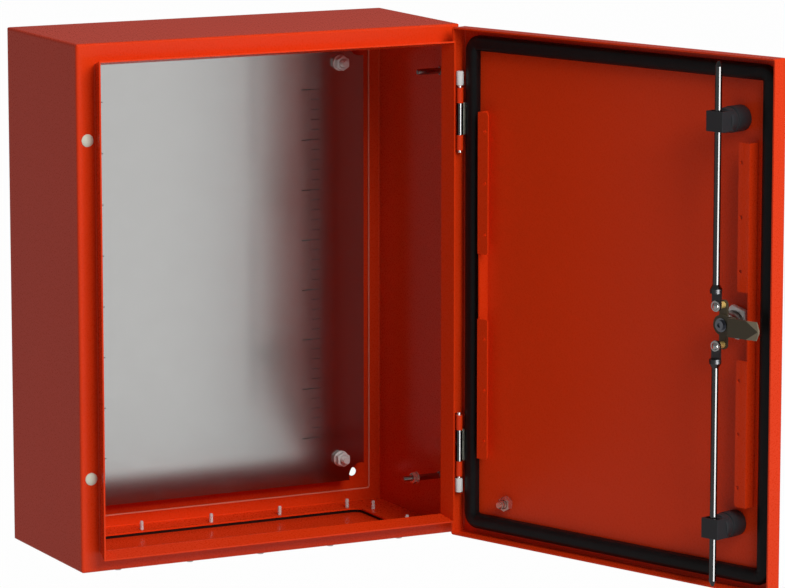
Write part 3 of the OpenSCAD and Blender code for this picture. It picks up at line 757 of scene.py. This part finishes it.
def together(*builders):
    """Several solids in one mesh."""

    def build(shape):
        for part in builders:
            part(shape)

    return build


def heading(quarters):
    """A flat direction, so many quarter turns from the first axis."""
    a = math.radians(90 * quarters)
    return math.cos(a), math.sin(a)


def rounded_rectangle(width, height, radius, steps=8):
    """Points round a rectangle with round corners, centred on the origin."""
    points = []
    for q, (right, up) in enumerate(QUARTERS):
        x = (width / 2 - radius) * right
        y = (height / 2 - radius) * up
        for i in range(steps + 1):
            along, aside = heading(q + i / steps)
            points.append((x + radius * along, y + radius * aside))
    return points


# Repeats, made with geometry nodes
class Rows(NodeTree):
    """A geometry tree whose result is realised and given its finish."""

    def __init__(self, name, inputs):
        super().__init__(bpy.data.node_groups.new(name, "GeometryNodeTree"))
        face = self.tree.interface
        face.new_socket("Geometry", in_out="INPUT", socket_type="NodeSocketGeometry")
        for label, kind in inputs:
            face.new_socket(label, in_out="INPUT", socket_type=kind)
        face.new_socket("Finish", in_out="INPUT", socket_type="NodeSocketMaterial")
        face.new_socket("Geometry", in_out="OUTPUT", socket_type="NodeSocketGeometry")
        self.given = self.node("NodeGroupInput").outputs

    def close(self, instances):
        """Realises the instances and sets the finish."""
        real = self.node("GeometryNodeRealizeInstances", Geometry=instances)
        made = self.node("GeometryNodeSetMaterial", Geometry=real, Material=self.given["Finish"])
        self.node("NodeGroupOutput", Geometry=made)

    def run(self, points, place, slot, **values):
        """Runs the tree on points in local millimetres and returns a plain mesh at its place."""
        seed = bpy.data.meshes.new("points")
        seed.from_pydata([(x * MM, y * MM, 0) for x, y in points], [], [])
        holder = bpy.data.objects.new("rows", seed)
        bpy.context.scene.collection.objects.link(holder)
        rows = holder.modifiers.new("Rows", "NODES")
        rows.node_group = self.tree
        values["Finish"] = finish(slot)
        for socket in self.tree.interface.items_tree:
            if socket.in_out == "INPUT" and socket.name in values:
                rows[socket.identifier] = values[socket.name]
        depsgraph = bpy.context.evaluated_depsgraph_get()
        made = bpy.data.meshes.new_from_object(holder.evaluated_get(depsgraph))
        holder.modifiers.remove(rows)
        bpy.data.objects.remove(holder)
        bpy.data.meshes.remove(seed)
        made.transform(place)
        return made


def copies_tree():
    """Copies of one fastener on every point."""
    rows = Rows("fastener_copies", [("Fastener", "NodeSocketObject")])
    shape = rows.node("GeometryNodeObjectInfo", Object=rows.given["Fastener"])
    spread = rows.node(
        "GeometryNodeInstanceOnPoints",
        Points=rows.given["Geometry"],
        Instance=shape.outputs["Geometry"],
    )
    rows.close(spread)
    return rows


def thread_tree():
    """A threaded rod with a pointed end on every point, along Z."""
    number = "NodeSocketFloat"
    rows = Rows(
        "threaded_rods",
        [("Length", number), ("Radius", number), ("Pitch", number), ("Depth", number)],
    )
    length, radius, pitch, depth = (
        Field(rows.tree, rows.given[name]) for name in ("Length", "Radius", "Pitch", "Depth")
    )
    core_end = length - pitch
    core = rows.node(
        "GeometryNodeMeshCylinder", Vertices=32, Radius=radius - depth, Depth=core_end
    )
    lifted = rows.node("ShaderNodeCombineXYZ", Z=0.5 * core_end)
    core_up = rows.node(
        "GeometryNodeTransform", Geometry=core.outputs["Mesh"], Translation=lifted
    )
    tip = rows.node(
        "GeometryNodeMeshCone",
        Vertices=32,
        Radius_Top=radius - 2 * depth,
        Radius_Bottom=radius - depth,
        Depth=pitch,
    )
    tip_lift = rows.node("ShaderNodeCombineXYZ", Z=core_end)
    tip_up = rows.node(
        "GeometryNodeTransform", Geometry=tip.outputs["Mesh"], Translation=tip_lift
    )
    ridge_start = 0.7 * pitch
    ridge_run = length - 2.2 * pitch
    helix = rows.node(
        "GeometryNodeCurveSpiral",
        Resolution=20,
        Rotations=ridge_run / pitch,
        Start_Radius=radius - depth,
        End_Radius=radius - depth,
        Height=ridge_run,
    )
    ridge = rows.node(
        "GeometryNodeCurvePrimitiveCircle", {"mode": "RADIUS"}, Resolution=4, Radius=depth
    )
    wound = rows.node(
        "GeometryNodeCurveToMesh",
        Curve=helix,
        Profile_Curve=ridge.outputs["Curve"],
        Fill_Caps=True,
    )
    helix_lift = rows.node("ShaderNodeCombineXYZ", Z=ridge_start)
    wound_up = rows.node("GeometryNodeTransform", Geometry=wound, Translation=helix_lift)
    joined = rows.node("GeometryNodeJoinGeometry")
    for part in (core_up, tip_up, wound_up):
        rows.tree.links.new(part.outputs[0], joined.inputs[0])
    spread = rows.node(
        "GeometryNodeInstanceOnPoints", Points=rows.given["Geometry"], Instance=joined
    )
    rows.close(spread)
    return rows


def ticks_tree():
    """A row of equal ticks along Y from every point."""
    number = "NodeSocketFloat"
    rows = Rows(
        "scale_ticks",
        [
            ("Count", "NodeSocketInt"),
            ("Pitch", number),
            ("Length", number),
            ("Width", number),
            ("Rise", number),
        ],
    )
    step = rows.node("ShaderNodeCombineXYZ", Y=rows.given["Pitch"])
    line = rows.node("GeometryNodeMeshLine", Count=rows.given["Count"], Offset=step)
    size = rows.node(
        "ShaderNodeCombineXYZ",
        X=rows.given["Length"],
        Y=rows.given["Width"],
        Z=rows.given["Rise"],
    )
    tick = rows.node("GeometryNodeMeshCube", Size=size)
    row = rows.node(
        "GeometryNodeInstanceOnPoints", Points=line, Instance=tick.outputs["Mesh"]
    )
    scales = rows.node(
        "GeometryNodeInstanceOnPoints", Points=rows.given["Geometry"], Instance=row
    )
    rows.close(scales)
    return rows


TREES = {"copies": copies_tree, "threads": thread_tree, "ticks": ticks_tree}
MADE_TREES = {}


def tree(name):
    """A geometry tree, built at its first use."""
    if name not in MADE_TREES:
        MADE_TREES[name] = TREES[name]()
    return MADE_TREES[name]


def copies(builder, points, place, slot):
    """A mesh with one fastener on every point of a local pattern in millimetres."""
    mould = bpy.data.objects.new("mould", solid(builder, Matrix.Identity(4)))
    bpy.context.scene.collection.objects.link(mould)
    mesh = tree("copies").run(points, place, slot, Fastener=mould)
    bpy.data.objects.remove(mould)
    return mesh


def threads(points, place, length, diameter, pitch):
    """A mesh with one zinc-plated thread on every point of a local pattern in millimetres."""
    return tree("threads").run(
        points,
        place,
        "zinc",
        Length=length * MM,
        Radius=diameter / 2 * MM,
        Pitch=pitch,
        Depth=THREAD_DEPTH * pitch,
    )


def merged(*meshes):
    """One mesh from several in the same frame."""
    shape = bmesh.new()
    for mesh in meshes:
        shape.from_mesh(mesh)
        bpy.data.meshes.remove(mesh)
    made = bpy.data.meshes.new("merged")
    shape.to_mesh(made)
    shape.free()
    return made


class CabinetStep(bpy.types.Operator):
    """One group of pieces of the cabinet."""

    bl_options = {"REGISTER", "UNDO"}

    def execute(self, context):
        self.make(context.scene)
        return {"FINISHED"}


class CABINET_OT_paintwork(CabinetStep):
    """Coats the folded sheet of the body and the door, and lays the bead along the back, painted
    pale as a highlight
    """

    bl_idname = "cabinet.paintwork"
    bl_label = "Paintwork"

    def make(self, scene):
        coat("paint", "body_shell", "back_panel", "gland_plate", "door_panel")
        coat("paint", "hinge_side_rail", "lock_side_rail")
        coat("paint", "upper_hinge_bracket", "lower_hinge_bracket")
        bead = solid(self.seam, Matrix.Identity(4))
        # The bead's pale colour is a painted highlight
        new_piece("back_seam_bead", bead, "paint", "cabinet", look="filler")

    @staticmethod
    def seam(shape):
        """A fine sealant bead along the rear flange's edge, where it meets the back panel; its
        pale colour is a painted highlight.
        """
        low, high = (Vector(corner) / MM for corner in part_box("body_shell"))
        middle = (low + high) / 2
        depth = 1.0
        radius = 0.8
        bend = 2.0
        sides = 9
        seat = high.y - depth
        wide = high.x - low.x - 2 * REAR_FLANGE
        tall = high.z - low.z - 2 * REAR_FLANGE
        path = rounded_rectangle(wide, tall, bend)
        rings = []
        for i, (x, z) in enumerate(path):
            before = path[i - 1]
            after = path[(i + 1) % len(path)]
            out = Vector((after[1] - before[1], before[0] - after[0])).normalized()
            loop = []
            for k in range(sides):
                a = math.tau * k / sides
                aside = radius * math.cos(a)
                spot = (
                    middle.x + x + out.x * aside,
                    seat + radius * math.sin(a),
                    middle.z + z + out.y * aside,
                )
                loop.append(shape.verts.new(spot))
            rings.append(loop)
        skin(shape, rings, closed=True)


class CABINET_OT_mounting_plate(CabinetStep):
    """Finishes the mounting plate and prints its two scales"""

    bl_idname = "cabinet.mounting_plate"
    bl_label = "Mounting plate"

    def make(self, scene):
        settings = scene.cabinet_plate
        coat("galvanised", "mounting_plate")
        coat("zinc", "plate_spacers")
        rise = 0.04
        sunk = 0.01
        place = facing_front(0, PLATE_FRONT - rise / 2 + sunk, 0)
        scales = []
        for columns, step, length, width in (
            (FINE_COLUMNS, 1, 9.5, 0.45),
            (COARSE_COLUMNS, COARSE_STEP, 10.5, 0.8),
        ):
            ticks = tree("ticks").run(
                [(x, FIRST_TICK) for x in columns],
                place,
                "ink",
                Count=(settings.tick_count - 1) // step + 1,
                Pitch=step * settings.tick_pitch,
                Length=length * MM,
                Width=width * MM,
                Rise=rise * MM,
            )
            scales.append(ticks)
        new_piece("plate_scale", merged(*scales), "galvanised", "cabinet", look="ink")


class CABINET_OT_plate_fixings(CabinetStep):
    """Makes the threaded studs, washers and nuts of the mounting plate"""

    bl_idname = "cabinet.plate_fixings"
    bl_label = "Plate fixings"

    def make(self, scene):
        pitch = scene.cabinet_hardware.stud_pitch
        back = facing_front(0, BACK_INNER, 0)
        studs = threads(PLATE_STUDS, back, PLATE_STUD_LENGTH, STUD_DIAMETER, pitch)
        new_piece("plate_studs_threaded", studs, "zinc", "cabinet", ["plate_studs"])
        nut_seat = facing_front(0, PLATE_FRONT - STUD_WASHER[2], 0)
        nuts = copies(hex_nut(*STUD_NUT), PLATE_STUDS, nut_seat, "zinc")
        new_piece("plate_nuts_chamfered", nuts, "zinc", "cabinet", ["plate_nuts"])
        washer_seat = facing_front(0, PLATE_FRONT, 0)
        washers = copies(washer(*STUD_WASHER), PLATE_STUDS, washer_seat, "zinc")
        new_piece("plate_washers_stamped", washers, "zinc", "cabinet", ["plate_washers"])


class CABINET_OT_gland(CabinetStep):
    """Makes the gland screws and the foam gasket under the floor"""

    bl_idname = "cabinet.gland"
    bl_label = "Gland plate"

    def make(self, scene):
        spots = GLAND_ROWS + GLAND_SIDES
        under = facing_up(0, GLAND_MIDDLE, GLAND_UNDER)
        pitch = scene.cabinet_hardware.screw_pitch
        shanks = threads(spots, under, GLAND_SCREW_LENGTH, GLAND_SCREW_DIAMETER, pitch)
        head = turned([(1.2, -1.6), (1.3, -2.6), (2.8, -2.5), (3.4, -2.1), (3.9, -0.6), (4, 0)])
        screws = merged(shanks, copies(head, spots, under, "zinc"))
        new_piece("gland_screws_threaded", screws, "zinc", "cabinet", ["gland_screws"])
        gasket = solid(self.strip, facing_up(0, GLAND_MIDDLE, GASKET_UNDER))
        new_piece("gland_gasket_foam", gasket, "foam", "cabinet", ["gland_gasket"])

    @staticmethod
    def strip(shape):
        """A flat frame with soft edges; its sizes are width, depth and corner radius."""
        outer = (356, 130, 9)
        inner = (322, 101, 10)
        soft = 0.5
        height = 3
        loops = [
            (outer, 0, soft),
            (outer, soft, 0),
            (outer, height - soft, 0),
            (outer, height, soft),
            (inner, height, -soft),
            (inner, height - soft, 0),
            (inner, soft, 0),
            (inner, 0, -soft),
        ]
        rings = []
        for (w, d, r), z, inset in loops:
            path = rounded_rectangle(w - 2 * inset, d - 2 * inset, r - min(inset, 0))
            rings.append([shape.verts.new((x, y, z)) for x, y in path])
        skin(shape, rings, closed=True)


class CABINET_OT_wall_studs(CabinetStep):
    """Turns the two studs on the hinge-side wall and makes the earth nut"""

    bl_idname = "cabinet.wall_studs"
    bl_label = "Wall studs"

    def make(self, scene):
        foot = [(4.2, 0), (4.2, 0.7), (3.9, 1), (3, 1.1)]
        upper = foot + [(3, 23.6), (2.5, 24.7), (2, 25), (0.3, 25)]
        lower = foot + [(3, 24), (2.5, 24.4), (2.5, 39), (2, 40), (0.3, 40)]
        studs = merged(
            solid(turned(upper), facing_left(WALL_INNER, WALL_STUD_Y, WALL_STUD_RISE)),
            solid(turned(lower), facing_left(WALL_INNER, WALL_STUD_Y, -WALL_STUD_RISE)),
        )
        new_piece(
            "wall_studs_turned", studs, "zinc", "cabinet", ["wall_studs"], look="mirror_zinc"
        )
        seat = facing_left(WALL_INNER - WALL_NUT_SEAT, WALL_STUD_Y, -WALL_STUD_RISE)
        nut = together(hex_nut(*WALL_NUT), washer(*WALL_WASHER, -WALL_WASHER[2]))
        # The earth nut's copper tint is a painted reflection of the red paint
        new_piece(
            "earth_nut", solid(nut, seat), "zinc", "cabinet", ["earth_fasteners"],
            look="copper_flash",
        )


class CABINET_OT_plugs(CabinetStep):
    """Makes the plugs in the spare hinge holes and the caps on the hinge pins"""

    bl_idname = "cabinet.plugs"
    bl_label = "Plugs and caps"

    def make(self, scene):
        dome = turned(
            [(3.4, -3.0), (3.7, -2.6), (3.7, -0.1), (6, 0), (6, 0.3), (5.6, 0.7), (4.7, 1.3),
             (3.3, 1.9), (1.7, 2.3), (0.3, 2.4)]
        )
        holes = [(0, -PLUG_RISE), (0, PLUG_RISE)]
        plugs = copies(dome, holes, facing_front(PLUG_X, BODY_FRONT, 0), "plug_plastic")
        new_piece("flange_plugs_domed", plugs, "plug_plastic", "cabinet", ["flange_plugs"])
        cap = turned(
            [(1.7, 0), (3.1, 0), (3.5, 0.3), (3.7, 0.9), (3.7, 12.4), (3.45, 13.2), (2.9, 13.65),
             (2.0, 13.8), (0.3, 13.8)]
        )
        x = HINGE[0] / MM
        y = HINGE[1] / MM
        flip = Matrix.Rotation(math.pi, 4, "X")
        caps = merged(
            solid(cap, facing_up(x, y, CAP_SEAT)),
            solid(cap, facing_up(x, y, -CAP_SEAT) @ flip),
        )
        new_piece("hinge_caps_moulded", caps, "white_plastic", "cabinet", ["hinge_caps"])


class CABINET_OT_hinges(CabinetStep):
    """Finishes the hinge pins, bolts and leaves"""

    bl_idname = "cabinet.hinges"
    bl_label = "Hinges"

    def make(self, scene):
        coat("zinc", "hinge_pins", "hinge_screws")
        coat("leaf_zinc", "upper_hinge_leaf", "lower_hinge_leaf")


class CABINET_OT_foam_seal(CabinetStep):
    """Pours the foam strip round the door"""

    bl_idname = "cabinet.foam_seal"
    bl_label = "Foam seal"

    def make(self, scene):
        settings = scene.cabinet_foam
        place = on_door(DOOR_WIDTH / 2, DOOR_SHEET, 0)
        wide = DOOR_WIDTH - 2 * SEAL_INSET
        high = DOOR_HEIGHT - 2 * SEAL_INSET
        mesh = solid(lambda shape: self.strip(shape, settings, wide, high), place)
        new_piece("door_seal_foam", mesh, "foam", "door", ["door_seal"], 60)

    @staticmethod
    def strip(shape, settings, wide, high):
        """A crowned strip that follows a rounded rectangle."""
        corner = 16.0
        width = settings.width / MM
        height = settings.height / MM
        half_w = wide / 2 - corner
        half_h = high / 2 - corner
        section = [(0, 0), (0.0, 0.55), (0.05, 0.75), (0.14, 0.90), (0.28, 0.985), (0.42, 1.0),
                   (0.58, 1.0), (0.72, 0.985), (0.86, 0.90), (0.95, 0.75), (1.0, 0.55), (1.0, 0)]
        spine = []
        straight = 24
        bend = 10
        centres = [Vector((right * half_w, up * half_h)) for right, up in QUARTERS]
        for q, centre in enumerate(centres):
            for i in range(bend + 1):
                spine.append((centre, Vector(heading(q + i / bend))))
            after = centres[(q + 1) % len(centres)]
            for i in range(1, straight):
                spine.append((centre.lerp(after, i / straight), Vector(heading(q + 1))))
        rings = []
        for k, (centre, out) in enumerate(spine):
            wave = 0.5 * math.sin(1.7 * k) + 0.5 * math.sin(0.61 * k + 1) - 1
            lift = settings.ripple / MM * wave
            loop = []
            for across, up in section:
                spot = centre + out * (corner - width * across)
                loop.append(shape.verts.new((spot.x, spot.y, up * (height + lift))))
            rings.append(loop)
        skin(shape, rings, closed=True)


class CABINET_OT_rod_guides(CabinetStep):
    """Moulds the two guides that the rods slide in"""

    bl_idname = "cabinet.rod_guides"
    bl_label = "Rod guides"

    def make(self, scene):
        foot = turned(
            [(11.6, 1.5), (12.1, 2.0), (12.3, 5), (12.3, 18.3), (12.0, 18.9), (11.0, 19.2),
             (11.0, 20.1), (11.7, 20.5), (11.7, 27.0), (11.4, 28.0), (10.7, 28.5), (0.5, 28.5)]
        )
        for name, side in (("upper_rod_guide", 1), ("lower_rod_guide", -1)):
            place = on_door(LOCK_INSET, 0, LOCK.z / MM + side * GUIDE_RISE)
            made = merged(solid(foot, place), solid(self.block, place))
            piece = new_piece(name + "_moulded", made, "guide_plastic", "door", [name], 40)
            rounding = piece.modifiers.new("Rounding", "BEVEL")
            rounding.width = 0.9 * MM
            rounding.segments = 3
            rounding.limit_method = "ANGLE"
            rounding.angle_limit = math.radians(60)

    @staticmethod
    def block(shape):
        """A block with a long slot for the rod."""
        half_w = 9.6
        half_l = 9.3
        low = 24.5
        top = 40.8
        slot_half = 7.6
        slot_low = 31.6
        slot_top = 38.8
        outer = [(-half_w, low), (half_w, low), (half_w, top), (-half_w, top)]
        inner = [
            (-slot_half, slot_low),
            (slot_half, slot_low),
            (slot_half, slot_top),
            (-slot_half, slot_top),
        ]
        rings = []
        for loop, y in ((outer, -half_l), (outer, half_l), (inner, half_l), (inner, -half_l)):
            rings.append([shape.verts.new((x, y, n)) for x, n in loop])
        skin(shape, rings, closed=True)


class CABINET_OT_door_earth(CabinetStep):
    """Makes the earth stud and nut on the door"""

    bl_idname = "cabinet.door_earth"
    bl_label = "Door earth stud"

    def make(self, scene):
        place = on_door(DOOR_STUD_INSET, DOOR_SHEET, DOOR_STUD_Z)
        pitch = scene.cabinet_hardware.stud_pitch
        stud = threads([(0, 0)], place, DOOR_STUD_LENGTH, STUD_DIAMETER, pitch)
        nut = solid(hex_nut(*STUD_NUT), place)
        for name, mesh, node in (
            ("door_earth_stud_threaded", stud, "door_earth_stud"),
            ("door_earth_nut_chamfered", nut, "door_earth_nut"),
        ):
            # The copper tint paints the red door's reflection onto the zinc
            new_piece(name, mesh, "zinc", "door", [node], look="copper_flash")


class CABINET_OT_rod_lock(CabinetStep):
    """Finishes the lock, its cam and the rods, and makes the pins and the nut"""

    bl_idname = "cabinet.rod_lock"
    bl_label = "Rod lock"

    def make(self, scene):
        coat("zinc", "lock_insert")
        coat("mirror_zinc", "lock_housing")
        coat("rod_steel", "upper_rod", "lower_rod")
        coat("dark_steel", "rod_arm")
        # The cam's ground bevels carry a painted highlight
        coat("ground_steel", "lock_cam")
        coat("dark_chrome", "cam_screw")
        coat("brass", "pin_bushes")
        low, top = off_door("pin_screws")
        pin = turned(
            [(0.3, low), (3.1, low), (3.5, low + 0.3), (3.5, low + 1.2), (2.0, low + 1.2),
             (2.0, top - 5.1), (2.4, top - 5.1), (2.4, top - 2.4), (5.3, top - 2.4),
             (5.3, top - 1.9), (4.9, top - 1.5), (4.2, top - 1.35), (3.5, top - 1.5),
             (3.4, top - 1.3), (3.0, top - 0.85), (2.2, top - 0.4), (1.2, top - 0.1), (0.3, top)]
        )
        holes = [(0, PIN_RISE), (0, -PIN_RISE)]
        pins = copies(pin, holes, on_door(LOCK_INSET, 0, LOCK.z / MM), "turned_zinc")
        new_piece(
            "pin_screws_turned", pins, "zinc", "lock_cam", ["pin_screws"], look="turned_zinc"
        )
        turn = Matrix.Rotation(LOCK_NUT_TURN, 4, "Z")
        seat = on_door(LOCK_INSET, DOOR_SHEET, LOCK.z / MM) @ turn
        nut = solid(hex_nut(*LOCK_NUT), seat)
        new_piece("lock_nut_chamfered", nut, "zinc", "door", ["lock_nut"])


class CABINET_OT_studio(CabinetStep):
    """Sets up the pale floor, the soft light and the camera"""

    bl_idname = "cabinet.studio"
    bl_label = "Studio"

    def make(self, scene):
        settings = scene.cabinet_studio
        scene.view_settings.view_transform = "Standard"
        self.sky(scene, settings)
        self.floor(scene, settings)
        key = self.lamp(scene, "key", settings.key_watts)
        key.visible_glossy = False
        card = self.lamp(scene, "card", settings.card_watts)
        strip = self.lamp(scene, "strip", settings.strip_watts)
        for mirrored_only in (card, strip):
            mirrored_only.visible_diffuse = False
        bright = bpy.data.collections.new("bright_metal")
        for name in BRIGHT_METAL:
            bright.objects.link(scene.objects[name])
        strip.light_linking.receiver_collection = bright
        self.camera(scene, settings)

    @staticmethod
    def seen(tree):
        """Two masks: what the camera or a glass looks at, and what a mirror looks at."""
        path = tree.node("ShaderNodeLightPath")
        camera = tree.field(path, "Is Camera Ray")
        through = tree.field(path, "Is Transmission Ray")
        return camera.top(through), tree.field(path, "Is Glossy Ray")

    @staticmethod
    def mixed(tree, share, first, second):
        """A blend of two shaders."""
        made = tree.node("ShaderNodeMixShader", Fac=share)
        tree.fill(made.inputs[1], first)
        tree.fill(made.inputs[2], second)
        return made

    def sky(self, scene, settings):
        """White where it is looked at, greyer in mirrors and as light."""
        world = bpy.data.worlds.new("studio")
        world.use_nodes = True
        scene.world = world
        made = NodeTree(world.node_tree)
        made.tree.nodes.clear()
        levels = [
            made.node("ShaderNodeBackground", Color=(1, 1, 1, 1), Strength=level)
            for level in (settings.sky, 1.0, settings.backdrop)
        ]
        looked_at, mirrored = self.seen(made)
        light = self.mixed(made, looked_at, levels[0], levels[1])
        made.node("ShaderNodeOutputWorld", Surface=self.mixed(made, mirrored, light, levels[2]))

    def floor(self, scene, settings):
        """A wide pale floor below the cabinet."""
        made = Finish("studio_floor")
        grain = made.noise(0.3)
        made.set(Base_Color=made.tint(grain, (0.80, 0.80, 0.80), (0.84, 0.84, 0.84)))
        made.set(Roughness=0.9)
        glow = made.node("ShaderNodeEmission", Color=(1, 1, 1, 1), Strength=1.0)
        dim = made.node("ShaderNodeEmission", Color=(1, 1, 1, 1), Strength=2 * settings.backdrop)
        looked_at, mirrored = self.seen(made)
        surface = self.mixed(made, FLOOR_WASH * looked_at, made.shader, glow)
        surface = self.mixed(made, mirrored, surface, dim)
        output = next(n for n in made.tree.nodes if n.type == "OUTPUT_MATERIAL")
        made.fill(output.inputs["Surface"], surface)
        mesh = bpy.data.meshes.new("floor")
        corners = [(FLOOR_HALF * right, FLOOR_HALF * back, FLOOR_Z) for right, back in QUARTERS]
        mesh.from_pydata(corners, [], [(0, 1, 2, 3)])
        mesh.materials.append(made.material)
        floor = bpy.data.objects.new("floor", mesh)
        scene.collection.objects.link(floor)

    @staticmethod
    def lamp(scene, name, watts):
        """A large light that faces the cabinet."""
        place, size = LAMPS[name]
        light = bpy.data.lights.new(name, "AREA")
        light.shape = "RECTANGLE"
        light.size, light.size_y = size
        light.energy = watts
        lamp = bpy.data.objects.new(name, light)
        lamp.location = place
        lamp.rotation_mode = "QUATERNION"
        lamp.rotation_quaternion = (LAMP_AIM - Vector(place)).to_track_quat("-Z", "Y")
        lamp.visible_camera = False
        scene.collection.objects.link(lamp)
        return lamp

    @staticmethod
    def camera(scene, settings):
        """The photograph's viewing angle."""
        lens = bpy.data.cameras.new("camera")
        lens.sensor_fit = "HORIZONTAL"
        lens.sensor_width = 36.0
        lens.lens = settings.lens
        lens.clip_end = 200.0
        camera = bpy.data.objects.new("camera", lens)
        camera.location = CAMERA_PLACE
        ahead = Vector(
            (
                math.sin(settings.pan) * math.cos(settings.tilt),
                math.cos(settings.pan) * math.cos(settings.tilt),
                -math.sin(settings.tilt),
            )
        )
        camera.rotation_mode = "QUATERNION"
        camera.rotation_quaternion = ahead.to_track_quat("-Z", "Y")
        scene.collection.objects.link(camera)
        scene.camera = camera


STEPS = (
    CABINET_OT_paintwork,
    CABINET_OT_mounting_plate,
    CABINET_OT_plate_fixings,
    CABINET_OT_gland,
    CABINET_OT_wall_studs,
    CABINET_OT_plugs,
    CABINET_OT_hinges,
    CABINET_OT_foam_seal,
    CABINET_OT_rod_guides,
    CABINET_OT_door_earth,
    CABINET_OT_rod_lock,
    CABINET_OT_studio,
)


class CABINET_PT_panel(bpy.types.Panel):
    """Lists the cabinet's settings and steps"""

    bl_label = "Cabinet"
    bl_space_type = "VIEW_3D"
    bl_region_type = "UI"
    bl_category = "Cabinet"

    def draw(self, context):
        for step in STEPS:
            self.layout.operator(step.bl_idname)
        for name, group in SETTINGS.items():
            box = self.layout.box()
            for key in group.__annotations__:
                box.prop(getattr(context.scene, name), key)


CLASSES = (*SETTINGS.values(), *STEPS, CABINET_PT_panel)


def register():
    for cls in CLASSES:
        bpy.utils.register_class(cls)
    for name, group in SETTINGS.items():
        setattr(bpy.types.Scene, name, PointerProperty(type=group))


def unregister():
    for name in SETTINGS:
        delattr(bpy.types.Scene, name)
    for cls in reversed(CLASSES):
        bpy.utils.unregister_class(cls)


def main():
    register()
    for step in STEPS:
        group, name = step.bl_idname.split(".")
        getattr(getattr(bpy.ops, group), name)()


if __name__ == "__main__":
    main()
